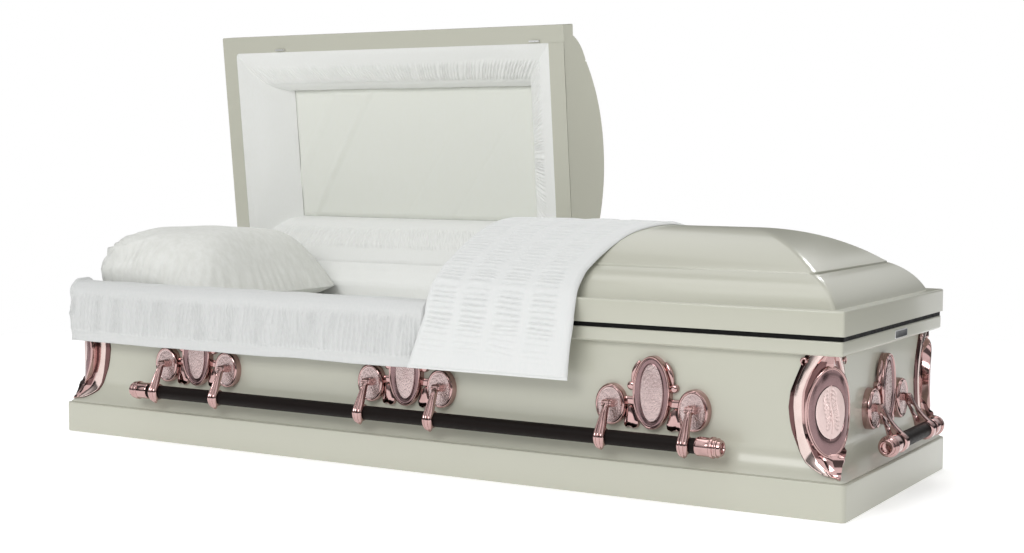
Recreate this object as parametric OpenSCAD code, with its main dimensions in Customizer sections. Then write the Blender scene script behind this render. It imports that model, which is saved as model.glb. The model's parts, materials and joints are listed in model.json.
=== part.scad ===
// Half-couch funeral casket in sheet steel, with a two-part domed lid, swing-bar
// handles, corner castings and a white cloth interior. Millimetres, +Z up.
// The origin is the middle of the underside; +X is the foot end, -Y the front.

/* [Body] */
// Length over the base moulding
base_l = 2130; // [1700:1:2600]
// Width over the base moulding
base_w = 702; // [560:1:860]
// Height of the base moulding
base_h = 77; // [50:1:110]
// How far the side wall stands in from the base moulding
side_inset = 28; // [20:1:36]
// How far the end wall stands in from the base moulding
end_inset = 42; // [34:1:52]
// Height of the top of the body rim
rim_top = 363; // [330:1:440]
// Height of the rim band
rim_h = 31; // [20:1:36]
// How far the rim band stands out from the side wall
rim_side = 21; // [14:1:24]
// How far the rim band stands out from the end wall
rim_end = 29; // [20:1:34]
// Width of the rim ledge that carries the gasket
ledge_w = 44; // [36:1:60]
// Height of the cove above the base moulding
cove_h = 60; // [40:1:70]
// Gap between the base moulding's edge and the foot of the cove
cove_set = 6; // [4:1:12]
// Thickness of the sheet steel
sheet_t = 1.2; // [0.8:0.1:2]
// Height of the floor pan above the underside of the base moulding
floor_z = 0; // [0:1:20]
// Thickness of the base moulding's metal
moulding_t = 2.5; // [1.5:0.5:4]

/* [Lid] */
// Where the lid is parted, measured from the middle
split_x = 77; // [0:1:160]
// Gap between the two lids at the parting
split_gap = 3; // [2:0.5:6]
// How far the lid overhangs the body rim all round
lid_over = 3.5; // [2:0.5:6]
// Height of the lid's upright rim
lid_rim_h = 52; // [40:1:64]
// Width of the painted flange under the lid
flange_w = 46; // [38:1:60]
// How far the head lid opens, in degrees
lid_open = 83.7; // [60:0.1:88]
// Height of the gasket with the lid shut on it
gasket_h = 9.6; // [6:0.1:14]
// Depth of the cloth tray inside the lid
tray_depth = 115; // [90:1:118]

/* [Handles] */
// Diameter of the handle bars
bar_d = 33; // [26:1:36]
// Length of the side bars between their end caps
bar_l = 1576; // [1400:1:1700]
// Length of the end bars between their end caps
end_bar_l = 320; // [270:1:380]
// Spacing of the three lugs along each side
lug_pitch = 630; // [520:1:680]
// Spacing of the two arms on one lug
arm_pitch = 194; // [180:1:220]
// Height of the handle pivots
pivot_z = 200; // [190:1:240]
// How far the pivots stand out from the wall
pivot_out = 29; // [26:1:34]
// How far the side bars hang below their pivots
bar_drop = 69; // [60:1:76]
// How far the side bars hang out beyond their pivots
bar_out = 20; // [18:1:30]
// How far the end bars hang out beyond their pivots
end_bar_out = 41; // [36:1:50]
// Running clearance around each pivot pin
pin_gap = 0.06; // [0.02:0.01:0.1]

/* [Interior] */
// Thickness of the mattress
mattress_h = 120; // [80:1:140]
// Height of the top of the mattress
mattress_top = 325; // [300:1:330]
// Thickness of the quilted wall lining
lining_t = 20; // [12:1:24]
// Clearance between soft pieces and what they lie on
soft_gap = 0.3; // [0.2:0.1:1]
// Room between each end of the pillow and the wall lining
pillow_room = 21.8; // [17:0.1:60]
// Width of the pillow along the casket
pillow_l = 370; // [320:1:420]
// Thickness of the pillow
pillow_h = 215; // [160:1:230]
// Where the front skirt ends, measured from the middle
skirt_end = 52; // [20:1:60]
// Height of the skirt's lower edge
skirt_low = 243; // [225:1:290]
// Width of the throw along the casket
throw_w = 420; // [340:1:520]
// Thickness of the throw, padding and all
throw_t = 14; // [8:1:18]
// Height of the throw's lower edge
throw_low = 246; // [225:1:300]

/* [Hidden] */

PAINT = "#c9c8b6";
ROSE = "#b8999a";
CLOTH = "#ecece8";
BAR = "#1d1512";

// Half sizes of the walls, the rim and the lid
wall_y = base_w / 2 - side_inset;
wall_x = base_l / 2 - end_inset;
rim_y = wall_y + rim_side;
rim_x = wall_x + rim_end;
lid_y = rim_y + lid_over;
lid_x = rim_x + lid_over;
rim_low = rim_top - rim_h;
// The lid's lowest plane lies a hair above the squeezed gasket
lid_z = rim_top + gasket_h + soft_gap;
// The hinge pins lie just behind the lid's lower back edge
knuckle_r = 3;
hinge_y = lid_y + knuckle_r + soft_gap;
arc_steps = 12;

// ---- outlines ----
// A profile is a list of [inset, height] points that climbs inwards.
// Points along an arc between two points; bulge is half its turn in degrees.
function arc(a, b, bulge, n = arc_steps) =
  let (chord = norm(b - a), r = chord / (2 * sin(bulge)),
       along = (b - a) / chord, across = [-along[1], along[0]],
       mid = (a + b) / 2, c = mid - across * r * cos(bulge))
  [for (i = [0:n]) let (t = -bulge + 2 * bulge * i / n) c + r * (along * sin(t) + across * cos(t))];
// The same profile moved inwards by d, which gives a wall of that thickness
function inward(p, d) = [for (q = p) [q[0] + d, q[1] - d]];
// A profile drawn on both sides of a body of half width h
function both_sides(p, h) = concat(
  [for (q = p) [-(h - q[0]), q[1]]],
  [for (i = [len(p) - 1:-1:0]) [h - p[i][0], p[i][1]]]);
// An oval outline of half sizes a and b
function oval(a, b, n = 40) = [for (i = [0:n - 1]) [a * cos(360 * i / n), b * sin(360 * i / n)]];

// A body whose ends and sides meet in mitres: the same profile both ways
module mitred(end_profile, hx, side_profile, hy) {
  intersection() {
    rotate([90, 0, 90]) linear_extrude(2 * hx + 2, center = true) polygon(both_sides(side_profile, hy));
    rotate([90, 0, 0]) linear_extrude(2 * hy + 2, center = true) polygon(both_sides(end_profile, hx));
  }
}

// Extrudes an outline of [y, z] points from x0 to x1
module along_x(x0, x1) {
  translate([x0, 0, 0]) rotate([90, 0, 90]) linear_extrude(x1 - x0) children();
}

// A flat rectangle with round corners
module round_rect(w, d, r) {
  square([w - 2 * r, d], center = true);
  square([w, d - 2 * r], center = true);
  for (sx = [-1, 1], sy = [-1, 1]) translate([sx * (w / 2 - r), sy * (d / 2 - r)]) circle(r, $fn = 48);
}

// A slab with round upright corners, standing on z
module slab(w, d, h, r, z) {
  translate([0, 0, z]) linear_extrude(h) round_rect(w, d, r);
}

// ---- base and body ----
base_r = 12;
base_edge = 4;

// Outside of the cove, as a profile measured from the base's edge
cove_foot = 2;
function cove_profile(inset) =
  concat(
    [[cove_set, base_h - 1], [cove_set, base_h + cove_foot]],
    arc([cove_set, base_h + cove_foot], [inset, base_h + cove_h], -atan((inset - cove_set) / cove_h)));

// The same with the wall above it
function wall_profile(inset) = concat(cove_profile(inset), [[inset, rim_top - sheet_t]]);

module mitred_body(end_profile, side_profile) {
  mitred(end_profile, base_l / 2, side_profile, base_w / 2);
}

// Moulding and cove are one pressing, open at the foot of the walls
module base_moulding() {
  lip = moulding_t;
  t = sheet_t;
  color(PAINT) difference() {
    union() {
      slab(base_l, base_w, base_h - base_edge, base_r, 0);
      slab(base_l - base_edge, base_w - base_edge, base_h - 1, base_r, 0);
      slab(base_l - 2 * base_edge, base_w - 2 * base_edge, base_h, base_r, 0);
      mitred_body(cove_profile(end_inset), cove_profile(side_inset));
    }
    slab(base_l - 2 * lip, base_w - 2 * lip, base_h - 2 * lip, base_r - lip, lip);
    intersection() {
      mitred_body(inward(cove_profile(end_inset), t), inward(cove_profile(side_inset), t));
      translate([-base_l, -base_w, base_h]) cube([2 * base_l, 2 * base_w, cove_h]);
    }
    translate([-wall_x, -wall_y, -1]) cube([2 * wall_x, 2 * wall_y, base_h + cove_h + 2]);
  }
}

module body_shell() {
  t = sheet_t;
  color(PAINT) difference() {
    translate([-wall_x, -wall_y, floor_z]) cube([2 * wall_x, 2 * wall_y, rim_top - t - floor_z]);
    translate([-wall_x + t, -wall_y + t, floor_z + t]) cube([2 * (wall_x - t), 2 * (wall_y - t), rim_top]);
  }
}

// The rolled band's section, drawn d inside its outer face
function rim_profile(d) =
  let (edge = 4)
  concat([[edge, rim_low + d], [d, rim_low + edge]],
    arc([d, rim_top - edge], [edge, rim_top - d], 22.5, 6));

module body_rim() {
  t = sheet_t;
  color(PAINT) difference() {
    mitred(rim_profile(0), rim_x, rim_profile(0), rim_y);
    mitred(rim_profile(t), rim_x, rim_profile(t), rim_y);
    translate([-wall_x, -wall_y, rim_low - 1]) cube([2 * wall_x, 2 * wall_y, rim_h + 1 - t]);
    slab(2 * (rim_x - ledge_w), 2 * (rim_y - ledge_w), rim_h + 2, 20, rim_low);
  }
}

gasket_set = 1;
gasket_w = 30;
module gasket() {
  color("#101010") difference() {
    slab(2 * (rim_x - gasket_set), 2 * (rim_y - gasket_set), gasket_h, 8, rim_top);
    slab(2 * (rim_x - gasket_w), 2 * (rim_y - gasket_w), gasket_h + 2, 8, rim_top - 1);
  }
}

plate_w = 85;
plate_h = 18;
plate_t = 1.5;
plate_y = 35;
module rim_plate() {
  color("#4a4a4a") translate([rim_x, plate_y, rim_top - rim_h / 2]) rotate([90, 0, 90])
    linear_extrude(plate_t) round_rect(plate_w, plate_h, 3);
}

// ---- lid ----
// From the lid's edge: upright rim, ledge, first tier, bead, then the dome
tier_in = 30;
tier_out = 95;
tier_rise = 115;
bead_in = 108;
bead_rise = 123;
crown_rise = 198;
crown_flat = 6;
function crown_profile() =
  let (r = 5, z = lid_z)
  concat(
    [[0, z]],
    arc([0, z + lid_rim_h - r], [r, z + lid_rim_h], 22.5, 6),
    [[tier_in - 4, z + lid_rim_h - 1], [tier_in - 2, z + lid_rim_h - 4]],
    arc([tier_in, z + lid_rim_h], [tier_out, z + tier_rise], 20),
    [[tier_out + 3, z + tier_rise - 2], [tier_out + 5, z + tier_rise - 1]],
    arc([tier_out + 6, z + tier_rise + 3], [bead_in, z + bead_rise], 30, 6));
// The dome's arc is tangent to the level line along the middle of the lid
function dome_profile() =
  let (mid = lid_y - crown_flat, run = mid - bead_in, up = crown_rise - bead_rise,
       r = (run * run + up * up) / (2 * up), turn = asin(run / r), n = 24)
  [for (i = [1:n]) let (t = turn * (1 - i / n)) [mid - r * sin(t), lid_z + crown_rise - r + r * cos(t)]];
function lid_profile() = concat(crown_profile(), dome_profile());

// One lid of sheet steel from x0 to x1, closed at the parting by an end plate
module lid(x0, x1) {
  t = sheet_t;
  inner = inward(lid_profile(), t);
  difference() {
    intersection() {
      mitred(lid_profile(), lid_x, lid_profile(), lid_y);
      translate([x0, -lid_y - 1, 0]) cube([x1 - x0, 2 * lid_y + 2, 1000]);
    }
    intersection() {
      mitred(inner, lid_x, inner, lid_y);
      translate([x0 + t, -lid_y, lid_z + t]) cube([x1 - x0 - 2 * t, 2 * lid_y, 1000]);
    }
    translate([x0 + flange_w, -lid_y + flange_w, lid_z - 1])
      cube([x1 - x0 - 2 * flange_w, 2 * (lid_y - flange_w), t + 2]);
  }
}

// Cloth tray inside a lid: sloping sides from the flange up to a flat panel
tray_side = 122;
tray_end = 150;
tray_t = 6;
module tray_solid(x0, x1, z0, z1, grow) {
  side = tray_side - flange_w;
  end = tray_end - flange_w;
  a = [x0 + flange_w - grow, x1 - flange_w + grow];
  b = lid_y - flange_w + grow;
  h = z1 - z0;
  intersection() {
    translate([0, 0, z0]) rotate([90, 0, 90]) linear_extrude(5000, center = true)
      polygon([[-b, 0], [b, 0], [b - side, h], [-b + side, h]]);
    translate([0, 0, z0]) rotate([90, 0, 0]) linear_extrude(2000, center = true)
      polygon([[a[0], 0], [a[1], 0], [a[1] - end, h], [a[0] + end, h]]);
  }
}

module lid_lining(x0, x1) {
  lip = 12;
  z = lid_z + sheet_t;
  difference() {
    union() {
      tray_solid(x0, x1, z, lid_z + tray_depth, 0);
      translate([x0 + flange_w - lip, -lid_y + flange_w - lip, z])
        cube([x1 - x0 - 2 * (flange_w - lip), 2 * (lid_y - flange_w + lip), tray_t]);
    }
    translate([0, 0, -0.01]) tray_solid(x0, x1, z, lid_z + tray_depth - tray_t, -tray_t);
  }
}

module lid_foot() {
  color(PAINT) lid(split_x + split_gap / 2, lid_x);
}

module lid_foot_lining() {
  color(CLOTH) lid_lining(split_x + split_gap / 2, lid_x);
}

// Turns a piece of the head lid from shut to open about the hinge line
module opened() {
  translate([0, hinge_y, lid_z]) rotate([-lid_open, 0, 0]) translate([0, -hinge_y, -lid_z]) children();
}

module lid_head() {
  color(PAINT) opened() lid(-lid_x, split_x - split_gap / 2);
}

module lid_head_lining() {
  color(CLOTH) opened() lid_lining(-lid_x, split_x - split_gap / 2);
}

// Two bright loops under the front flange, which go down inside the gasket
catch_in = [212, 86];
catch_x = [-lid_x + catch_in[0], split_x - catch_in[1]];
catch_w = 30;
catch_t = 4;
catch_wire = 4;
module lid_head_catches() {
  deep = gasket_h - 0.8;
  y = -(rim_y - gasket_w + lid_y - flange_w) / 2;
  color("silver") opened() for (x = catch_x) translate([x, y, lid_z]) rotate([90, 0, 0])
    linear_extrude(catch_t, center = true) difference() {
      translate([0, -deep / 2]) square([catch_w, deep], center = true);
      square([catch_w - 2 * catch_wire, 2 * (deep - catch_wire)], center = true);
    }
}

// ---- hinges ----
hinge_l = 70;
knuckle_l = 30;
leaf_t = 1.5;
hinge_in = 127;
// Three hinges to a lid, one near each end and one between
function spread(a, b) = [a, (a + b) / 2, b];
head_hinges = spread(-lid_x + hinge_in, split_x - hinge_in);
foot_hinges = spread(split_x + hinge_in, lid_x - hinge_in);
hinge_xs = concat(head_hinges, foot_hinges);
pin_r = 1.5;

module knuckle(x, l, r) {
  translate([x, hinge_y, lid_z]) rotate([0, 90, 0]) cylinder(r = r, h = l, center = true, $fn = 32);
}

// Leaves screwed to the back of the body rim, with the middle knuckle and the pin
module hinge_plates() {
  web = [[rim_y, rim_top - 4], [rim_y + leaf_t, rim_top - 4],
    [hinge_y + 1.5, lid_z - 1], [hinge_y - 1.5, lid_z - 2]];
  color("silver") for (x = hinge_xs) {
    along_x(x - knuckle_l / 2, x + knuckle_l / 2) polygon(web);
    translate([x - hinge_l / 2, rim_y, rim_top - 24]) cube([hinge_l, leaf_t, 20]);
    knuckle(x, knuckle_l, knuckle_r);
    knuckle(x, hinge_l, pin_r);
  }
}

module lid_hinges(xs) {
  side_l = (hinge_l - knuckle_l) / 2 - 1;
  for (x = xs) difference() {
    union() {
      translate([x - hinge_l / 2, lid_y, lid_z + 5]) cube([hinge_l, leaf_t, 20]);
      for (s = [-1, 1]) {
        knuckle(x + s * (hinge_l - side_l) / 2, side_l, knuckle_r);
        along_x(x + s * hinge_l / 2 - (s + 1) * side_l / 2, x + s * hinge_l / 2 + (1 - s) * side_l / 2)
          polygon([[lid_y, lid_z + 6], [lid_y + leaf_t, lid_z + 6],
            [hinge_y + 1, lid_z + 2], [hinge_y - 2, lid_z + 1]]);
      }
    }
    knuckle(x, hinge_l + 2, pin_r + pin_gap);
  }
}

module lid_head_hinges() {
  color("silver") opened() lid_hinges(head_hinges);
}

module lid_foot_hinges() {
  color("silver") lid_hinges(foot_hinges);
}

// ---- lugs, arms and bars ----
// Each is drawn against a wall at y = 0 that faces -Y, then set in its place.
plate_steps = [[44, 79, 12], [40, 75, 18], [33, 66, 22]];
dish = [27, 59, 3];
oval_z = pivot_z + 28;
disc_a = 36;
disc_b = 45;
disc_z = pivot_z - 3;
disc_t = 20;
neck_h = 22;
neck_z = pivot_z + 10;
petal = [16, 22];
petal_t = 8;
petal_z = pivot_z - 36;
bud_r = 9;
bud_t = 14;
bud_z = pivot_z + 40;
ear_t = 4;
ear_r = 8;
eye_r = 8.6;
arm_eye_w = 14;
pivot_r = 4;

module facing(depth, x, z) {
  translate([x, 0, z]) rotate([90, 0, 0]) linear_extrude(depth) children();
}

module lug() {
  color(ROSE) {
    difference() {
      for (step = plate_steps) facing(step[2], 0, oval_z) polygon(oval(step[0], step[1]));
      translate([0, dish[2] - plate_steps[2][2], 0]) facing(10, 0, oval_z) polygon(oval(dish[0], dish[1]));
    }
    for (s = [-1, 1]) {
      facing(disc_t, s * arm_pitch / 2, disc_z) polygon(oval(disc_a, disc_b));
      // the neck that joins disc and oval, with a petal below it and a bud above
      facing(petal_t, s * arm_pitch / 4, neck_z) square([arm_pitch / 2 - 20, neck_h], center = true);
      facing(petal_t, s * (plate_steps[0][0] + 2), petal_z) polygon(oval(petal[0], petal[1]));
      facing(bud_t, s * (plate_steps[0][0] + 7), bud_z) circle(bud_r, $fn = 32);
      // two ears carry the pivot pin
      for (e = [-1, 1]) translate([s * arm_pitch / 2 + e * (arm_eye_w / 2 + 0.5 + ear_t / 2), 0, pivot_z])
        rotate([90, 0, 90]) linear_extrude(ear_t, center = true) union() {
          translate([-pivot_out, 0]) circle(ear_r, $fn = 32);
          translate([-pivot_out, -ear_r]) square([pivot_out - disc_t + 2, 2 * ear_r]);
        }
      translate([s * arm_pitch / 2, -pivot_out, pivot_z]) rotate([0, 90, 0])
        cylinder(r = pivot_r, h = arm_eye_w + 2 * ear_t, center = true, $fn = 32);
    }
  }
}

ring_w = 26;
ring_t = 5;
// Half width of an arm, from 0 at its eye to 1 at its bar
function arm_half(t) = arm_eye_w / 2 + (ring_w - arm_eye_w) / 2 * (1 - cos(180 * t)) / 2;

// An arm swings on the lug's pin and ends in a ring round the bar
module arm(out) {
  bar = [-pivot_out - out, pivot_z - bar_drop];
  top = [-pivot_out, pivot_z];
  front = bar[0] - bar_d / 2 - ring_t;
  steps = [for (i = [0:12]) i / 12];
  reach = bar_drop + bar_d / 2;
  color(ROSE) difference() {
    union() {
      translate([0, top[0], top[1]]) rotate([0, 90, 0])
        cylinder(r = eye_r, h = arm_eye_w, center = true, $fn = 48);
      translate([0, bar[0], bar[1]]) rotate([0, 90, 0])
        cylinder(r = bar_d / 2 + ring_t, h = ring_w, center = true, $fn = 64);
      intersection() {
        rotate([90, 0, 90]) linear_extrude(ring_w, center = true)
          polygon([top + [4, 6], top + [-6, 6], [front, bar[1] + 12], [front + 1, bar[1] - 4],
                   bar + [-4, bar_d / 2 + 1], top + [1, -14]]);
        rotate([90, 0, 0]) linear_extrude(2 * (pivot_out + out + bar_d), center = true) polygon(concat(
          [[-arm_eye_w / 2, top[1] + eye_r]], [for (t = steps) [-arm_half(t), top[1] - reach * t]],
          [for (t = steps) [arm_half(1 - t), top[1] - reach * (1 - t)]], [[arm_eye_w / 2, top[1] + eye_r]]));
      }
    }
    translate([0, top[0], top[1]]) rotate([0, 90, 0])
      cylinder(r = pivot_r + pin_gap, h = 2 * ring_w, center = true, $fn = 48);
    translate([0, bar[0], bar[1]]) rotate([0, 90, 0])
      cylinder(r = bar_d / 2, h = 2 * ring_w, center = true, $fn = 64);
  }
}

module bar(out, l) {
  color(BAR) translate([0, -pivot_out - out, pivot_z - bar_drop]) rotate([0, 90, 0])
    cylinder(r = bar_d / 2, h = l, center = true, $fn = 64);
}

// Stepped cap on a bar's end; side is -1 or 1
module cap(out, l, side) {
  r = bar_d / 2;
  color(ROSE) translate([side * l / 2, -pivot_out - out, pivot_z - bar_drop]) rotate([0, side * 90, 0])
    rotate_extrude($fn = 64) polygon([[0, 0], [r, 0], [r, -35], [r + 3, -35], [r + 4, -30], [r + 4, -4],
      [r + 7, -2], [r + 7, 5], [r + 3, 7], [r + 3, 11], [r, 13], [r, 16], [r - 5, 18], [r - 5, 20], [0, 22]]);
}

module on_front(x) {
  translate([x, -wall_y, 0]) children();
}

module on_back(x) {
  rotate([0, 0, 180]) on_front(-x) children();
}

module on_foot_end() {
  translate([wall_x, 0, 0]) rotate([0, 0, 90]) children();
}

module on_head_end() {
  rotate([0, 0, 180]) on_foot_end() children();
}

function lug_x(i) = (i - 2) * lug_pitch;
// Arms 1 to 6 run from the head end, two to a lug
function arm_x(i) = lug_x(floor((i + 1) / 2)) + (i % 2 == 1 ? -1 : 1) * arm_pitch / 2;

// ---- corner castings ----
// Edge of the shield that wraps the corner: distance from the corner of the
// walls, and height as a share of the way from the base to the rim
shield_edge = [[-26, 0.03], [4, 0.047], [27, 0.08], [50, 0.13], [65, 0.21], [73, 0.286], [83, 0.38],
  [88, 0.467], [91, 0.57], [87, 0.7], [78, 0.79], [70, 0.867], [65, 0.918], [56, 1]];
shield_t = 5;
// Oval medallion on a post that fills the corner, facing out across it
medal_a = 31;
medal_b = 93;
medal_out = 2;
medal_z = base_h + 0.55 * (rim_low - base_h);
corner_top = rim_low - soft_gap;

module shield_outline(side) {
  reach = 70;
  far = shield_edge[0][1];
  at = function (share) base_h + share * (corner_top - base_h);
  edge = [for (q = shield_edge) [-side * q[0], at(q[1])]];
  polygon(concat(edge, [[side * reach, at(1)], [side * reach, at(far)]]));
}

module corner_casting() {
  reach = 2 * medal_a;
  color(ROSE) difference() {
    union() {
      intersection() {
        mitred_body(inward(wall_profile(end_inset), -shield_t), inward(wall_profile(side_inset), -shield_t));
        union() {
          translate([wall_x, -wall_y + 1, 0]) facing(reach, 0, 0) shield_outline(1);
          translate([wall_x - 1, -wall_y, 0]) rotate([0, 0, 90]) facing(reach, 0, 0) shield_outline(-1);
        }
      }
      intersection() {
        translate([wall_x, -wall_y + medal_a, 0]) facing(reach, 0, medal_z) polygon(oval(medal_a, medal_b));
        translate([wall_x - medal_a, -wall_y, 0]) rotate([0, 0, 90]) facing(reach, 0, medal_z)
          polygon(oval(medal_a, medal_b));
        translate([wall_x, -wall_y, 0]) rotate([0, 0, 45]) translate([-reach, -medal_out, 0])
          cube([2 * reach, reach, corner_top]);
      }
    }
    mitred_body(wall_profile(end_inset), wall_profile(side_inset));
  }
}

// ---- interior ----
module body_lining() {
  t = sheet_t;
  low = mattress_top - mattress_h;
  color(CLOTH) difference() {
    translate([-wall_x + t, -wall_y + t, low]) cube([2 * (wall_x - t), 2 * (wall_y - t), rim_top - t - low]);
    slab(2 * (wall_x - t - lining_t), 2 * (wall_y - t - lining_t), rim_top, 20, low - 1);
  }
}

bed_x = wall_x - sheet_t - lining_t - 12;
bed_y = wall_y - sheet_t - lining_t - 6;
module mattress() {
  color(CLOTH) slab(2 * bed_x, 2 * bed_y, mattress_h, 40, mattress_top - mattress_h);
}

// Steel frame on legs that carries the mattress
module bed_frame() {
  tube = 25;
  z = floor_z + sheet_t;
  top = mattress_top - mattress_h;
  slats = 9;
  color("silver") {
    for (s = [-1, 1]) translate([-bed_x, s * (bed_y - tube) - tube / 2, top - tube])
      cube([2 * bed_x, tube, tube]);
    for (i = [0:slats - 1])
      translate([-bed_x + i * (2 * bed_x - tube) / (slats - 1), -bed_y + tube / 2, top - tube])
        cube([tube, 2 * bed_y - tube, tube]);
    for (sx = [-1, 1], sy = [-1, 1])
      translate([sx * (bed_x - tube) - tube / 2, sy * (bed_y - tube) - tube / 2, z])
        cube([tube, tube, top - z - 1]);
  }
}

// A plump pillow, rounded all over, that lies across the head end
pillow_w = 2 * (wall_y - sheet_t - lining_t - pillow_room);
pillow_x = -rim_x + ledge_w + 8 + pillow_l / 2;
module pillow() {
  edge = 46;
  z = mattress_top + soft_gap;
  color(CLOTH) translate([pillow_x, 0, z]) hull() {
    for (sx = [-1, 1], sy = [-1, 1])
      translate([sx * (pillow_l / 2 - edge), sy * (pillow_w / 2 - edge), pillow_h * 0.45]) sphere(edge, $fn = 24);
    for (sy = [-1, 1]) translate([0, sy * pillow_w * 0.16, pillow_h - 90]) sphere(90, $fn = 24);
    for (sy = [-1, 1]) translate([0, sy * pillow_w * 0.16, 0]) cylinder(r = 80, h = 20, $fn = 24);
  }
}

// Front skirt: a padded cloth folded over the rim and hanging outside, with a
// flap tucked down inside
skirt_t = 18;
skirt_up = 27;
skirt_out = 12;
skirt_in = 34;
skirt_roll = 14;
module skirt() {
  z = rim_top + gasket_h + soft_gap;
  out = -rim_y - skirt_out;
  in = -rim_y + ledge_w + soft_gap;
  turn = [for (i = [0:8]) 90 * i / 8];
  color(CLOTH) {
    along_x(-rim_x + skirt_in, skirt_end) polygon(concat(
      [[out, z], [out, skirt_low], [out - skirt_t, skirt_low]],
      [for (t = turn) [out - skirt_t * cos(t), z + skirt_up * sin(t)]],
      [for (t = turn) [in + skirt_roll * sin(t), z + skirt_up * cos(t)]]));
    along_x(-rim_x + ledge_w + skirt_in, skirt_end)
      translate([in, rim_top - skirt_in]) square([skirt_roll, z - rim_top + skirt_in]);
  }
}

// Throw laid over the foot lid from behind its crown to its lower edge in front
throw_back = 190;
throw_hang = 30;
module throw() {
  x0 = split_x + split_gap / 2;
  p = lid_profile();
  // it bridges the grooves, so it keeps only the points that climb
  edge = [for (i = [1:len(p) - 1]) if (p[i][1] > max([for (j = [0:i - 1]) p[j][1]])) p[i]];
  front = [for (q = edge) [-(lid_y - q[0]), q[1]]];
  back = [for (i = [len(edge) - 1:-1:0])
    if (lid_y - edge[i][0] < throw_back) [lid_y - edge[i][0], edge[i][1]]];
  under = concat([for (q = front) q + [-0.3, 0.3]], [for (q = back) q + [0.3, 0.3]]);
  upper = concat([for (q = front) q + [-throw_t, throw_t]], [for (q = back) q + [0.3, throw_t]]);
  hem = [-lid_y - throw_hang, throw_low];
  n = len(under);
  color(CLOTH) along_x(x0, x0 + throw_w) polygon(concat(
    [[-lid_y - 1, lid_z + 40], hem, hem - [throw_t, 0], [-lid_y - throw_t, lid_z + 44]],
    upper, [for (i = [n - 1:-1:0]) under[i]]));
}

// ---- one line per node ----
base_moulding();
body_shell();
body_rim();
gasket();
rim_plate();
corner_casting();  // corner_front_foot
mirror([1, 0, 0]) corner_casting();  // corner_front_head
mirror([0, 1, 0]) corner_casting();  // corner_back_foot
mirror([1, 0, 0]) mirror([0, 1, 0]) corner_casting();  // corner_back_head
for (i = [1:3]) {
  on_front(lug_x(i)) lug();
  on_back(lug_x(i)) lug();
}
on_foot_end() lug();  // lug_foot_end
on_head_end() lug();  // lug_head_end
hinge_plates();
bed_frame();
mattress();
body_lining();
pillow();
skirt();
lid_head();
lid_head_lining();
lid_head_catches();
lid_head_hinges();
lid_foot();
lid_foot_lining();
lid_foot_hinges();
throw();
on_front(0) bar(bar_out, bar_l);  // bar_front
on_back(0) bar(bar_out, bar_l);  // bar_back
on_foot_end() bar(end_bar_out, end_bar_l);  // bar_foot_end
on_head_end() bar(end_bar_out, end_bar_l);  // bar_head_end
for (i = [1:2]) {
  side = i == 1 ? -1 : 1;
  on_front(0) cap(bar_out, bar_l, side);
  on_back(0) cap(bar_out, bar_l, side);
  on_foot_end() cap(end_bar_out, end_bar_l, side);
  on_head_end() cap(end_bar_out, end_bar_l, side);
  on_foot_end() translate([side * arm_pitch / 2, 0, 0]) arm(end_bar_out);
  on_head_end() translate([side * arm_pitch / 2, 0, 0]) arm(end_bar_out);
}
for (i = [1:6]) {
  on_front(arm_x(i)) arm(bar_out);
  on_back(arm_x(i)) arm(bar_out);
}
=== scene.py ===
"""Looks for a half-couch steel casket: painted shell and lids, rose chrome hardware, dark
bars and a white crepe interior. Shapes are worked out in millimetres, +Z up, +X the foot end
and -Y the front, and become metres when a piece is made."""
import json
import math

import bpy
import numpy as np
from mathutils import Matrix, Vector

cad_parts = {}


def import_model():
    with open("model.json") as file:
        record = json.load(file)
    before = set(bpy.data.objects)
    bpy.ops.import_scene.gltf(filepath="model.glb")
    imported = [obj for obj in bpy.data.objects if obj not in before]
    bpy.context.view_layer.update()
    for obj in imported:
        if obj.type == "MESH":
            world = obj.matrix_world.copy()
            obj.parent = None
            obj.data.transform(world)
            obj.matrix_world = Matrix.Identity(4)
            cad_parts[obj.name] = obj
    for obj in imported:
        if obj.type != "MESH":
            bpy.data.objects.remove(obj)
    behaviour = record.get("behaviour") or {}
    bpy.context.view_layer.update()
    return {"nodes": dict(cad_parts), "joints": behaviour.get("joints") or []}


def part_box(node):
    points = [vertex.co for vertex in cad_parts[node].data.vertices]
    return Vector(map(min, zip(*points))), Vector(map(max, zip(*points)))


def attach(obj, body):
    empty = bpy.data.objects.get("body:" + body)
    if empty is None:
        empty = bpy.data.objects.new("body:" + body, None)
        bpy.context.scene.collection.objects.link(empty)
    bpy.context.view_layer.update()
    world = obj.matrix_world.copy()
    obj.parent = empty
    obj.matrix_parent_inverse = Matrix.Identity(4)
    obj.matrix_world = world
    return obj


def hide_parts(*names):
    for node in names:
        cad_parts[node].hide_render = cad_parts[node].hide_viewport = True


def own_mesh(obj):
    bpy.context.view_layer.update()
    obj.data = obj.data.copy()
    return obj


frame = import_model()
MM = 0.001


def corners(node):
    """Lowest and highest corner of a CAD node, in millimetres."""
    low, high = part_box(node)
    return np.array(low) * 1000, np.array(high) * 1000


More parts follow.
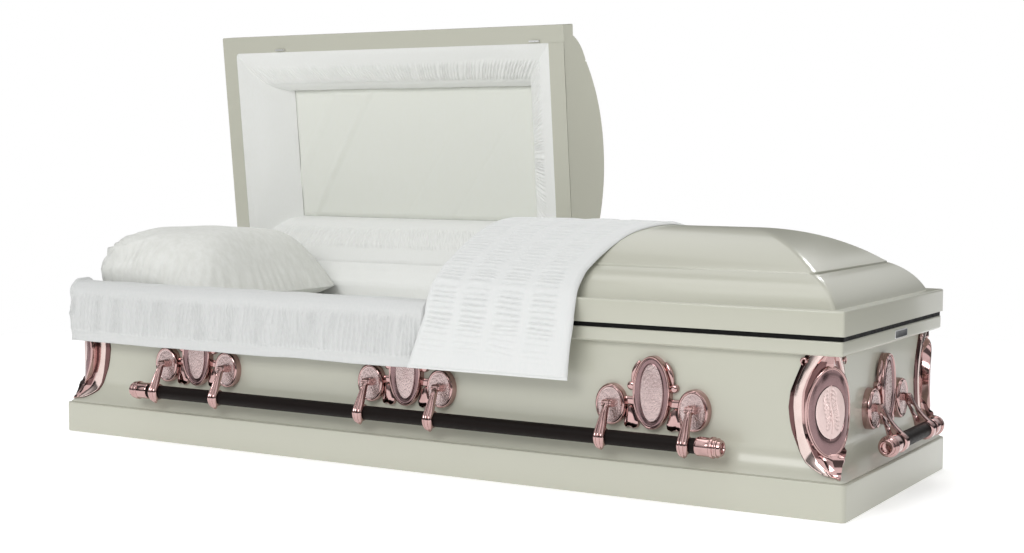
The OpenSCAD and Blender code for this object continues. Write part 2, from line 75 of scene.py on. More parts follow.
# ---- sizes that pieces share ----
BASE_X, BASE_Y = corners("base_moulding")[1][:2]
BASE_H = 77
WALL_X, WALL_Y, WALL_TOP = corners("body_shell")[1]
RIM_X, RIM_Y, RIM_TOP = corners("body_rim")[1]
RIM_LOW = corners("body_rim")[0][2]
LID_X, LID_Y = corners("lid_foot")[1][:2]
LID_Z = corners("lid_foot")[0][2]
FOOT_CUT = corners("lid_foot")[0][0]
HEAD_CUT = corners("lid_head")[1][0]
JOINTS = {j["name"]: j for j in frame["joints"]}
HINGE_Y, HINGE_Z = (1000 * v for v in JOINTS["head_hinge"]["pos_m"][1:])
LID_OPEN = math.radians(JOINTS["head_hinge"]["range_deg"][1])
FLANGE_W = 46
LEDGE_W = 44
SHEET = 1.2
PIVOT_Z = 200
PIVOT_OUT = 29
ARM_PITCH = 194
LUG_PITCH = 630
BAR_D = 33
SIDE_BAR = {"length": 1576, "out": 20, "drop": 69}
END_BAR = {"length": 320, "out": 41, "drop": 69}


# ---- maths ----
def smooth(t):
    """Eased step from 0 to 1."""
    t = np.clip(t, 0, 1)
    return t * t * (3 - 2 * t)


def arc(a, b, bulge, n=12):
    """Points on an arc from a to b; bulge is half its turn in degrees."""
    a, b, half = np.array(a, float), np.array(b, float), math.radians(bulge)
    chord = np.linalg.norm(b - a)
    r = chord / (2 * math.sin(half))
    along = (b - a) / chord
    across = np.array([-along[1], along[0]])
    c = (a + b) / 2 - across * r * math.cos(half)
    return [c + r * (along * math.sin(t) + across * math.cos(t)) for t in np.linspace(-half, half, n + 1)]


def rounded(points, r, n=4, closed=False):
    """A polyline with its corners filleted; r is one radius or one for each point."""
    p = [np.array(q, float) for q in points]
    radii = r if hasattr(r, "__len__") else [r] * len(p)
    out = []
    for i, q in enumerate(p):
        if not closed and i in (0, len(p) - 1) or radii[i] == 0:
            out.append(q)
            continue
        a, b = p[i - 1] - q, p[(i + 1) % len(p)] - q
        la, lb = np.linalg.norm(a), np.linalg.norm(b)
        a, b = a / la, b / lb
        half = math.acos(max(-1, min(1, a @ b))) / 2
        if half > math.pi / 2 - 0.01:
            out.append(q)
            continue
        cut = min(radii[i] / math.tan(half), la * 0.49, lb * 0.49)
        for t in np.linspace(0, 1, n + 1):
            out.append((1 - t) ** 2 * (q + a * cut) + 2 * t * (1 - t) * q + t * t * (q + b * cut))
    return np.array(out)


def resample(points, step):
    """The same polyline with evenly spaced points, and the distance along it of each."""
    p = np.array(points, float)
    d = np.r_[0, np.cumsum(np.linalg.norm(np.diff(p, axis=0), axis=1))]
    s = np.linspace(0, d[-1], max(2, int(round(d[-1] / step)) + 1))
    return np.stack([np.interp(s, d, p[:, k]) for k in range(p.shape[1])], 1), s


def normals_2d(p):
    """Left-hand normals of a 2-D polyline."""
    t = np.gradient(p, axis=0)
    t /= np.linalg.norm(t, axis=1)[:, None]
    return np.stack([-t[:, 1], t[:, 0]], 1)


def wander(x, pitch, seed, reach=1.0):
    """Smooth random values along x, with a new one every pitch."""
    rng = np.random.default_rng(seed)
    n = int((np.max(x) - np.min(x)) / pitch) + 6
    knots = rng.uniform(-reach, reach, n)
    u = (x - np.min(x)) / pitch + 1
    i = np.floor(u).astype(int)
    f = smooth(u - i)
    return knots[i] * (1 - f) + knots[i + 1] * f


def wander_2d(x, y, pitch_x, pitch_y, seed, reach=1.0):
    """Smooth random values over a surface."""
    rng = np.random.default_rng(seed)
    u = (x - np.min(x)) / pitch_x + 1
    v = (y - np.min(y)) / pitch_y + 1
    knots = rng.uniform(-reach, reach, (int(np.max(u)) + 4, int(np.max(v)) + 4))
    i, j = np.floor(u).astype(int), np.floor(v).astype(int)
    f, g = smooth(u - i), smooth(v - j)
    low = knots[i, j] * (1 - f) + knots[i + 1, j] * f
    high = knots[i, j + 1] * (1 - f) + knots[i + 1, j + 1] * f
    return low * (1 - g) + high * g


def gathers(along, across, pitch, seed, drift=0.5, keen=0.7):
    """Irregular ridges, 0 in the valleys and 1 on top, that run in the across direction."""
    phase = along / pitch + wander(along, pitch * 2.5, seed, 0.55)
    phase = phase + wander_2d(along, across, pitch * 3, 70, seed + 1, drift)
    height = 0.75 + wander_2d(along, across, pitch * 1.3, 60, seed + 2, 0.25)
    return np.abs(np.sin(math.pi * phase)) ** keen * height


def full_turn(n):
    """n even angles round a circle, in radians."""
    return np.linspace(0, 2 * math.pi, n, endpoint=False)


def offset(line, normals, lift):
    """Second and third coordinates of a section's points, moved out along its normals."""
    return [line[:, k][None] + normals[:, k][None] * lift for k in (0, 1)]


def surface_normals(p):
    """Unit normals of a grid of points."""
    n = np.cross(np.gradient(p, axis=0), np.gradient(p, axis=1))
    return n / np.maximum(np.linalg.norm(n, axis=2, keepdims=True), 1e-9)


# ---- mesh building ----
class Shape:
    """Collects grids of points, then becomes one mesh piece."""

    def __init__(self):
        self.points, self.faces, self.count = [], [], 0
        self.slots = []

    def add(self, points, faces, slot=0):
        points = np.asarray(points, float).reshape(-1, 3)
        self.points.append(points)
        self.faces += [[self.count + i for i in f] for f in faces]
        self.slots += [slot] * len(faces)
        self.count += len(points)

    def grid(self, p, around=False, loop=False, flip=False, slot=0):
        """p is (rows, columns, 3); around closes the rows, loop closes the columns."""
        p = np.asarray(p, float)
        n, m = p.shape[:2]
        index = self.count + np.arange(n * m).reshape(n, m)
        a = np.vstack([index, index[:1]]) if around else index
        a = np.hstack([a, a[:, :1]]) if loop else a
        quads = np.stack([a[:-1, :-1], a[1:, :-1], a[1:, 1:], a[:-1, 1:]], 2).reshape(-1, 4)
        if flip:
            quads = quads[:, ::-1]
        self.points.append(p.reshape(-1, 3))
        self.faces += quads.tolist()
        if hasattr(slot, "__len__"):
            self.slots += (slot * (len(quads) // len(slot)))
        else:
            self.slots += [slot] * len(quads)
        self.count += n * m

    def hoops(self, rings, **how):
        """Rings of points joined one to the next."""
        self.grid(np.array(rings).transpose(1, 0, 2), around=True, **how)

    def cap(self, ring, flip=False, slot=0):
        """One flat face across a ring of points."""
        order = range(len(ring))
        self.add(ring, [list(reversed(order)) if flip else list(order)], slot)

    def box(self, low, high, slot=0):
        (a, b, c), (d, e, f) = low, high
        p = [[x, y, z] for x in (a, d) for y in (b, e) for z in (c, f)]
        sides = [[0, 1, 3, 2], [4, 6, 7, 5], [0, 4, 5, 1], [2, 3, 7, 6], [0, 2, 6, 4], [1, 5, 7, 3]]
        self.add(p, sides, slot)

    def mesh(self, name, materials, sharp=35, turn=None, weld=0.01):
        p = np.vstack(self.points)
        if turn is not None:
            p = turn(p)
        me = bpy.data.meshes.new(name)
        me.from_pydata((p * MM).tolist(), [], self.faces)
        for m in materials:
            me.materials.append(m)
        me.polygons.foreach_set("material_index", self.slots)
        me.update()
        if weld:
            tidy(me, weld * MM)
        me.polygons.foreach_set("use_smooth", [True] * len(me.polygons))
        if sharp < 180:
            me.set_sharp_from_angle(angle=math.radians(sharp))
        return me

    def piece(self, name, body, materials, replaces=(), slot=None, **mesh_args):
        me = self.mesh(name, materials, **mesh_args)
        return put(bpy.data.objects.new(name, me), body, replaces)


def tidy(me, distance):
    """Joins points that meet and faces the surface outwards."""
    import bmesh
    bm = bmesh.new()
    bm.from_mesh(me)
    bmesh.ops.remove_doubles(bm, verts=bm.verts, dist=distance)
    bmesh.ops.dissolve_degenerate(bm, edges=bm.edges, dist=distance / 10)
    bmesh.ops.recalc_face_normals(bm, faces=bm.faces)
    bm.to_mesh(me)
    bm.free()


def put(obj, body, replaces=()):
    """Adds a piece to the scene and ties it to its CAD body."""
    bpy.context.scene.collection.objects.link(obj)
    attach(obj, body)
    if replaces:
        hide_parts(*replaces)
    return obj


def opened(p):
    """Turns points of the head lid from shut to open about the hinge line."""
    q = np.array(p, float)
    y, z = q[..., 1] - HINGE_Y, q[..., 2] - HINGE_Z
    q[..., 1] = HINGE_Y + y * math.cos(LID_OPEN) + z * math.sin(LID_OPEN)
    q[..., 2] = HINGE_Z - y * math.sin(LID_OPEN) + z * math.cos(LID_OPEN)
    return q


def rect_ring(hx, hy, r, n=5):
    """Points round a rectangle with round corners, anticlockwise."""
    r = min(r, hx, hy)
    out = []
    for sx, sy, start in ((1, 1, 0), (-1, 1, 90), (-1, -1, 180), (1, -1, 270)):
        for t in np.linspace(0, 90, n + 1):
            a = math.radians(start + t)
            out.append((sx * (hx - r) + r * math.cos(a), sy * (hy - r) + r * math.sin(a)))
    return np.array(out)


def ring_sweep(hx, hy, loop, n=5):
    """A closed loop of (end inset, side inset, z, corner radius) carried round a rectangle."""
    rows = []
    for end, side, z, r in loop:
        ring = rect_ring(hx - end, hy - side, r, n)
        rows.append(np.c_[ring, np.full(len(ring), z)])
    return np.transpose(np.array(rows), (1, 0, 2))


# ---- shader node helpers ----
def new_group(name, inputs, outputs):
    """An empty node group with its sockets, and its input and output nodes."""
    g = bpy.data.node_groups.new(name, "ShaderNodeTree")
    for label, kind, value in inputs:
        g.interface.new_socket(name=label, in_out="INPUT", socket_type=kind).default_value = value
    for label, kind in outputs:
        g.interface.new_socket(name=label, in_out="OUTPUT", socket_type=kind)
    return g, g.nodes.new("NodeGroupInput"), g.nodes.new("NodeGroupOutput")


class Wires:
    """Short calls for adding and joining nodes in one tree."""

    def __init__(self, tree):
        self.tree = tree

    def node(self, kind, **props):
        n = self.tree.nodes.new(kind)
        for key, value in props.items():
            setattr(n, key, value)
        return n

    def join(self, a, b):
        self.tree.links.new(a, b)

    def feed(self, socket, value):
        if isinstance(value, bpy.types.NodeSocket):
            self.join(value, socket)
        else:
            socket.default_value = value

    def math(self, operation, a, b=0.0):
        n = self.node("ShaderNodeMath", operation=operation)
        self.feed(n.inputs[0], a)
        self.feed(n.inputs[1], b)
        return n.outputs[0]

    def noise(self, vector, scale, detail=2.0, rough=0.5):
        n = self.node("ShaderNodeTexNoise")
        self.feed(n.inputs["Vector"], vector)
        self.feed(n.inputs["Scale"], scale)
        n.inputs["Detail"].default_value = detail
        n.inputs["Roughness"].default_value = rough
        return n.outputs["Fac"]

    def blend(self, factor, a, b):
        n = self.node("ShaderNodeMix", data_type="RGBA")
        self.feed(n.inputs[0], factor)
        self.feed(n.inputs[6], a)
        self.feed(n.inputs[7], b)
        return n.outputs[2]

    def remap(self, value, low, high, to_low, to_high):
        n = self.node("ShaderNodeMapRange")
        for socket, v in zip(n.inputs, (value, low, high, to_low, to_high)):
            self.feed(socket, v)
        return n.outputs[0]

    def place(self):
        return self.node("ShaderNodeTexCoord").outputs["Object"]


def colour(code):
    """Linear colour from an sRGB hex code."""
    c = [int(code[i:i + 2], 16) / 255 for i in (1, 3, 5)]
    return tuple(v / 12.92 if v <= 0.04045 else ((v + 0.055) / 1.055) ** 2.4 for v in c) + (1.0,)


def tone_group():
    """Slow, faint drift of a colour over a surface."""
    g, gin, gout = new_group("tone_drift",
        [("Colour", "NodeSocketColor", (0.8, 0.8, 0.8, 1)), ("Amount", "NodeSocketFloat", 0.05),
            ("Scale", "NodeSocketFloat", 3.0)],
        [("Colour", "NodeSocketColor")])
    w = Wires(g)
    n = w.noise(w.place(), gin.outputs["Scale"], 4)
    dark = w.node("ShaderNodeHueSaturation")
    w.join(gin.outputs["Colour"], dark.inputs["Color"])
    w.feed(dark.inputs["Value"], w.math("SUBTRACT", 1.0, gin.outputs["Amount"]))
    w.join(w.blend(n, gin.outputs["Colour"], dark.outputs[0]), gout.inputs["Colour"])
    return g


def edge_group():
    """1 along outer edges and 0 on flats, from how the surface turns."""
    g, gin, gout = new_group("edge_mask",
        [("Low", "NodeSocketFloat", 0.5), ("High", "NodeSocketFloat", 0.6)],
        [("Mask", "NodeSocketFloat")])
    w = Wires(g)
    point = w.node("ShaderNodeNewGeometry").outputs["Pointiness"]
    w.join(w.remap(point, gin.outputs["Low"], gin.outputs["High"], 0.0, 1.0), gout.inputs["Mask"])
    return g


def crepe_group():
    """Crinkled crepe weave as a height, with its threads and its fine crinkle."""
    g, gin, gout = new_group("crepe_weave",
        [("Thread", "NodeSocketFloat", 900.0), ("Crinkle", "NodeSocketFloat", 160.0)],
        [("Height", "NodeSocketFloat"), ("Shade", "NodeSocketFloat")])
    w = Wires(g)
    p = w.place()
    warp = w.node("ShaderNodeTexWave", bands_direction="X")
    weft = w.node("ShaderNodeTexWave", bands_direction="Z")
    for n in (warp, weft):
        w.join(p, n.inputs["Vector"])
        w.join(gin.outputs["Thread"], n.inputs["Scale"])
        n.inputs["Distortion"].default_value = 1.5
    threads = w.math("MULTIPLY", w.math("ADD", warp.outputs["Fac"], weft.outputs["Fac"]), 0.5)
    stretched = w.node("ShaderNodeMapping")
    w.join(p, stretched.inputs["Vector"])
    stretched.inputs["Scale"].default_value = (1.0, 1.0, 0.35)
    crinkle = w.noise(stretched.outputs[0], gin.outputs["Crinkle"], 3, 0.6)
    height = w.math("ADD", w.math("MULTIPLY", threads, 0.25), w.math("MULTIPLY", crinkle, 0.75))
    w.join(height, gout.inputs["Height"])
    # the crinkle alone also goes out as Shade, the mask for the painted shade in a cloth's dips
    w.join(crinkle, gout.inputs["Shade"])
    return g


def stipple_group():
    """Fine cast texture: packed grains as a height."""
    g, gin, gout = new_group("cast_stipple",
        [("Scale", "NodeSocketFloat", 500.0)],
        [("Height", "NodeSocketFloat")])
    w = Wires(g)
    cells = w.node("ShaderNodeTexVoronoi")
    w.join(w.place(), cells.inputs["Vector"])
    w.join(gin.outputs["Scale"], cells.inputs["Scale"])
    w.join(cells.outputs["Distance"], gout.inputs["Height"])
    return g


TONE, EDGE, CREPE, STIPPLE = tone_group(), edge_group(), crepe_group(), stipple_group()


def new_material(name, **constants):
    """A material, the wires of its tree and its shader, with constants set on the sockets."""
    m = bpy.data.materials.new(name)
    m.use_nodes = True
    bsdf = m.node_tree.nodes["Principled BSDF"]
    for key, value in constants.items():
        bsdf.inputs[key.replace("_", " ")].default_value = value
    return m, Wires(m.node_tree), bsdf


def use(w, group, **values):
    """Puts a node group into a tree with values or links on its inputs."""
    n = w.node("ShaderNodeGroup")
    n.node_tree = group
    for key, value in values.items():
        w.feed(n.inputs[key], value)
    return n


def bump(w, bsdf, height, distance, strength=1.0):
    """Joins a height, distance metres deep, to the shader as a normal."""
    n = w.node("ShaderNodeBump")
    n.inputs["Distance"].default_value = distance
    n.inputs["Strength"].default_value = strength
    w.join(height, n.inputs["Height"])
    w.join(n.outputs[0], bsdf.inputs["Normal"])


def paint_material():
    """Satin gloss enamel in a pale grey cream, with a faint spray texture."""
    m, w, bsdf = new_material("cream_enamel", IOR=1.5, Coat_Weight=0.3, Coat_Roughness=0.08)
    tone = use(w, TONE, Colour=colour("#BCBCAE"), Amount=0.03, Scale=0.8)
    w.join(tone.outputs[0], bsdf.inputs["Base Color"])
    p = w.place()
    w.join(w.remap(w.noise(p, 6.0), 0.0, 1.0, 0.27, 0.33), bsdf.inputs["Roughness"])
    bump(w, bsdf, w.noise(p, 900.0, 1), 0.00002, 0.3)
    return m


def rose_material(name, base, dark, rough, stipple=None):
    """Rose-toned polished plating with faint cloudy darkening; stipple is a cast grain's scale."""
    m, w, bsdf = new_material(name, Metallic=1.0)
    p = w.place()
    worn = w.remap(w.noise(p, 40.0, 3), 0.45, 0.75, 0.0, 0.5)
    tone = use(w, TONE, Colour=colour(base), Amount=0.08, Scale=25.0)
    w.join(w.blend(worn, tone.outputs[0], colour(dark)), bsdf.inputs["Base Color"])
    w.join(w.remap(w.noise(p, 60.0), 0.0, 1.0, rough * 0.8, rough * 1.3), bsdf.inputs["Roughness"])
    if stipple:
        grains = use(w, STIPPLE, Scale=stipple)
        bump(w, bsdf, grains.outputs[0], 0.0003, 0.8)
    return m


def bar_material():
    """Dark brown stained bar under satin lacquer, with a long faint grain."""
    m, w, bsdf = new_material("dark_bar", Specular_IOR_Level=0.12)
    stretch = w.node("ShaderNodeMapping")
    w.join(w.place(), stretch.inputs["Vector"])
    stretch.inputs["Scale"].default_value = (2.0, 60.0, 60.0)
    grain = w.noise(stretch.outputs[0], 3.0, 6, 0.6)
    w.join(w.blend(grain, colour("#0A0605"), colour("#170F0C")), bsdf.inputs["Base Color"])
    w.join(w.remap(grain, 0.3, 0.7, 0.42, 0.55), bsdf.inputs["Roughness"])
    bump(w, bsdf, grain, 0.0002, 0.3)
    return m


def rubber_material():
    """Matt black rubber with a slightly uneven surface."""
    m, w, bsdf = new_material("gasket_rubber", Specular_IOR_Level=0.15)
    p = w.place()
    tone = use(w, TONE, Colour=colour("#070707"), Amount=0.3, Scale=30.0)
    w.join(tone.outputs[0], bsdf.inputs["Base Color"])
    w.join(w.remap(w.noise(p, 80.0), 0.3, 0.7, 0.5, 0.7), bsdf.inputs["Roughness"])
    bump(w, bsdf, w.noise(p, 600.0), 0.0002, 0.5)
    return m


def steel_material(name, base, rough):
    """Plated or dull sheet steel, with a painted highlight along its edges."""
    m, w, bsdf = new_material(name, Metallic=1.0)
    p = w.place()
    edge = use(w, EDGE, Low=0.5, High=0.58)
    tone = use(w, TONE, Colour=colour(base), Amount=0.2, Scale=12.0)
    # edges are painted near white as a highlight
    w.join(w.blend(edge.outputs[0], tone.outputs[0], colour("#E8E8E8")), bsdf.inputs["Base Color"])
    w.join(w.remap(w.noise(p, 120.0, 4), 0.3, 0.7, rough * 0.8, rough * 1.25), bsdf.inputs["Roughness"])
    bump(w, bsdf, w.noise(p, 700.0, 1), 0.00005, 0.4)
    return m


def cloth_material(name, base, shade, thread, crinkle, depth):
    """Woven cloth: fine threads, a crinkle of its own size and a slightly darker colour painted into its dips
    as shade.
    """
    m, w, bsdf = new_material(name, Roughness=0.85, Sheen_Weight=0.25, Sheen_Roughness=0.4)
    weave = use(w, CREPE, Thread=thread, Crinkle=crinkle)
    low = w.remap(weave.outputs["Shade"], 0.35, 0.65, 0.0, 1.0)
    tone = use(w, TONE, Colour=colour(base), Amount=0.03, Scale=6.0)
    # the second colour is painted shade, laid into the low dips of the crinkle
    w.join(w.blend(low, colour(shade), tone.outputs[0]), bsdf.inputs["Base Color"])
    bump(w, bsdf, weave.outputs["Height"], depth, 0.7)
    return m


def frosted_material():
    """Pale pink etched face inside an oval."""
    m, w, bsdf = new_material("rose_frosted", Metallic=0.55)
    tone = use(w, TONE, Colour=colour("#EAD2CE"), Amount=0.06, Scale=60.0)
    w.join(tone.outputs[0], bsdf.inputs["Base Color"])
    w.join(w.remap(w.noise(w.place(), 90.0), 0.3, 0.7, 0.34, 0.44), bsdf.inputs["Roughness"])
    bump(w, bsdf, use(w, STIPPLE, Scale=1500.0).outputs[0], 0.0001, 0.4)
    return m


PAINT = paint_material()
ROSE = rose_material("rose_plating", "#C2A19E", "#9F7F7C", 0.07)
ROSE_STIPPLED = rose_material("rose_stippled", "#CDB8B6", "#B59C9A", 0.22, 700.0)
ROSE_SATIN = rose_material("rose_satin", "#8E7475", "#7A6162", 0.2)
# Dark and bright copies of the plating for the corner castings. The dark one is painted shade and dark
# reflection; the bright one is a painted bright reflection.
ROSE_PAINTED_SHADE = rose_material("rose_painted_shade", "#6E5150", "#523A39", 0.12)
ROSE_PAINTED_BRIGHT = rose_material("rose_painted_bright", "#DCC8C2", "#C9B2AC", 0.1)
ROSE_FROSTED = frosted_material()
BAR = bar_material()
RUBBER = rubber_material()
STEEL = steel_material("zinc_steel", "#B9BBBD", 0.3)
PLATE = steel_material("plate_grey", "#5A5C5E", 0.45)
# One white crepe in three tints. The copy inside the casket is painted lighter to stand in for light the tray
# and walls don't get. The skirt and throw copies are painted darker as shade.
CREPE_PAINTED_LIGHTER = cloth_material("white_crepe_painted_lighter", "#ECEDEB", "#E9EAE7", 900.0, 220.0, 0.00015)
SKIRT_PAINTED_DARKER = cloth_material("white_skirt_painted_darker", "#D0D1D0", "#CBCDCC", 900.0, 220.0, 0.00012)
THROW_PAINTED_DARKER = cloth_material("white_throw_painted_darker", "#DCDDDC", "#D8DAD9", 900.0, 220.0, 0.00012)
PANEL_WHITE = cloth_material("white_panel", "#E3E5DE", "#E1E3DB", 1100.0, 110.0, 0.0001)
QUILT_WHITE = cloth_material("white_quilt", "#E2E3DF", "#D9DAD5", 1000.0, 60.0, 0.0006)


# ---- painted shell ----
COVE_TOP = 137
COVE_FOOT = 79
COVE_SET = 6
COVE_RISE = 60
PLATE_T = 2.5
END_INSET = BASE_X - WALL_X
SIDE_INSET = BASE_Y - WALL_Y


def cove_insets(z):
    """How far the shell stands in from the base's edge at height z, at the ends and sides."""
    out = []
    for inset in (END_INSET, SIDE_INSET):
        half_turn = math.degrees(math.atan((inset - COVE_SET) / COVE_RISE))
        p = np.array(arc((COVE_SET, COVE_FOOT), (inset, COVE_TOP), -half_turn, 24))
        out.append(np.interp(z, p[:, 1], p[:, 0], left=COVE_SET, right=inset))
    return out


def base_moulding():
    """Plinth band with eased edges, and the cove that sweeps up from it to the walls."""
    edge = rounded([(8, 0), (0, 0), (0, BASE_H), (COVE_SET + 1, BASE_H), (COVE_SET, COVE_FOOT)],
        [0, 3, 6, 1.5, 0], 5)
    loop = [(p[0], p[0], p[1], 11) for p in edge]
    for z in np.linspace(COVE_FOOT, COVE_TOP, 16)[1:]:
        end, side = cove_insets(z)
        t = (z - COVE_FOOT) / (COVE_TOP - COVE_FOOT)
        loop.append((end, side, z, 9 - 7 * t))
    end, side = END_INSET + SHEET / 2, SIDE_INSET + SHEET / 2
    loop += [(end, side, COVE_TOP + 0.3, 2), (end, side, PLATE_T, 2), (8, 8, PLATE_T, 6)]
    s = Shape()
    s.grid(ring_sweep(BASE_X, BASE_Y, loop), around=True, loop=True)
    return s.piece("base", "casket", [PAINT], ["base_moulding"], "paint", sharp=40)


def rim_band():
    """Rolled band under the lid: outer face, ledge for the gasket and the turned-in lower lip."""
    at_wall = RIM_X - WALL_X
    outer = rounded([(at_wall, RIM_LOW + 2.5), (3, RIM_LOW), (0, RIM_LOW + 4), (0, RIM_TOP),
        (LEDGE_W, RIM_TOP)], [0, 3, 2, 4, 0], 5)
    inner = [(LEDGE_W, RIM_TOP - SHEET), (at_wall + 1, RIM_TOP - SHEET), (SHEET + 1, RIM_TOP - SHEET - 1),
        (SHEET + 1, RIM_LOW + 5), (at_wall, RIM_LOW + 2.5 + SHEET)]
    reach = at_wall - (RIM_Y - WALL_Y)
    loop = []
    for p in list(outer) + inner:
        side = p[0] - reach if abs(p[0] - at_wall) < 0.1 else p[0]
        loop.append((p[0], side, p[1], max(1.5, 5.5 - p[0] * 0.1) if p[0] < 40 else 20))
    s = Shape()
    s.grid(ring_sweep(RIM_X, RIM_Y, loop, 6), around=True, loop=True)
    return s.piece("rim_band", "casket", [PAINT], ["body_rim"], "paint", sharp=40)


# ---- lids ----
LID_H = 198
DOME_IN = 108
DOME_RISE = 75
CROWN_FLAT = 6


def lid_outline():
    """The lid's section from its lower edge to the middle of the dome, as (inset, height)."""
    z = LID_Z
    edge = [(0, z), (0, z + 52), (27, z + 51), (28.5, z + 48.5), (30.5, z + 52)]
    tier = [(0, z)] + list(rounded(edge, [0, 5, 2, 0.8, 0], 5))[1:]
    tier += arc((30.5, z + 52), (95, z + 114.5), 20, 16)[1:]
    lip = rounded([(95, z + 114.5), (97, z + 115.5), (98.5, z + 112.5), (100.5, z + 113.5),
        (101.5, z + 119.5), (DOME_IN, z + LID_H - DOME_RISE)], [0, 1, 1, 1, 3, 0], 4)
    run = LID_Y - CROWN_FLAT - DOME_IN
    r = (run * run + DOME_RISE * DOME_RISE) / (2 * DOME_RISE)
    turn = math.asin(run / r)
    dome = [(LID_Y - CROWN_FLAT - r * math.sin(t), z + LID_H - r + r * math.cos(t))
        for t in np.linspace(turn, 0, 30)]
    return np.array(list(tier) + list(lip[1:]) + dome[1:] + [(LID_Y, z + LID_H)])


def lid_path(hx, hy, r, cut, n=5):
    """Round three sides of a lid from the parting and back to it."""
    r = max(0.0, min(r, hx, hy))
    right = [(hx - r + r * math.sin(a), -hy + r - r * math.cos(a))
        for a in np.linspace(0, math.pi / 2, n + 1)]
    return np.array([(cut, -hy)] + right + [(x, -y) for x, y in reversed(right)] + [(cut, hy)])


def lid_shell(name, node, body, cut, side, turn=None):
    """One lid of folded sheet: skin, turned-in flange and the end plate at the parting."""
    outer = lid_outline()
    inner = [(min(p[0] + SHEET, LID_Y), p[1] - SHEET) for p in outer[::-1]]
    inner = [p for p in inner if p[1] > LID_Z + SHEET] + [(SHEET, LID_Z + SHEET), (FLANGE_W, LID_Z + SHEET)]
    loop = list(outer) + inner + [(FLANGE_W, LID_Z)]
    rows = []
    for inset, z in loop:
        r = min(5 + inset * 0.12, 16)
        path = lid_path(LID_X - inset, LID_Y - inset, r, cut)
        rows.append(np.c_[path, np.full(len(path), z)])
    p = np.transpose(np.array(rows), (1, 0, 2))
    s = Shape()
    s.grid(p, loop=True)
    edge = [(-(LID_Y - a), z) for a, z in outer] + [(LID_Y - a, z) for a, z in outer[::-1]][1:]
    plate, bevel = 2.0, 1.0
    face = np.array([(cut, y, z) for y, z in edge])
    rim = face.copy()
    rim[:, 0] += bevel
    front = face.copy()
    front[:, 1] *= 1 - bevel / LID_Y
    front[:, 2] = LID_Z + (front[:, 2] - LID_Z) * (1 - bevel / LID_H)
    back = rim.copy()
    back[:, 0] += plate
    s.grid(np.array([front, rim, back]))
    s.cap(front, flip=True)
    s.cap(back)
    inner_y = LID_Y - FLANGE_W + 1
    s.box((cut + 1, -inner_y, LID_Z), (cut + FLANGE_W, inner_y, LID_Z + SHEET))

    def placed(q):
        q = q.copy()
        if side < 0:
            q[:, 0] *= -1
        return turn(q) if turn else q
    return s.piece(name, body, [PAINT], [node], "paint", turn=placed, sharp=30)


def head_lid():
    return lid_shell("head_lid_shell", "lid_head", "head_lid", -HEAD_CUT, -1, opened)


def foot_lid():
    return lid_shell("foot_lid_shell", "lid_foot", "foot_lid", FOOT_CUT, 1)


# ---- cloth inside the lids ----
TRAY_DEPTH = 115
PANEL_T = 5
DEEP_END, DEEP_CUT, DEEP_SIDE = 120.0, 110.0, 116.0


def lid_sides():
    """How far each side of the tray has come in, by how deep it is: padded roll or flat slope."""
    depth = np.linspace(0, 1, 38)
    roll = np.interp(depth, [0, 0.03, 0.24, 0.44, 0.6, 0.75, 0.9, 1],
        [0, 0.09, 0.46, 0.73, 0.87, 0.95, 0.99, 1])
    return depth, roll, np.interp(depth, [0, 0.1, 1], [0, 0.09, 1])


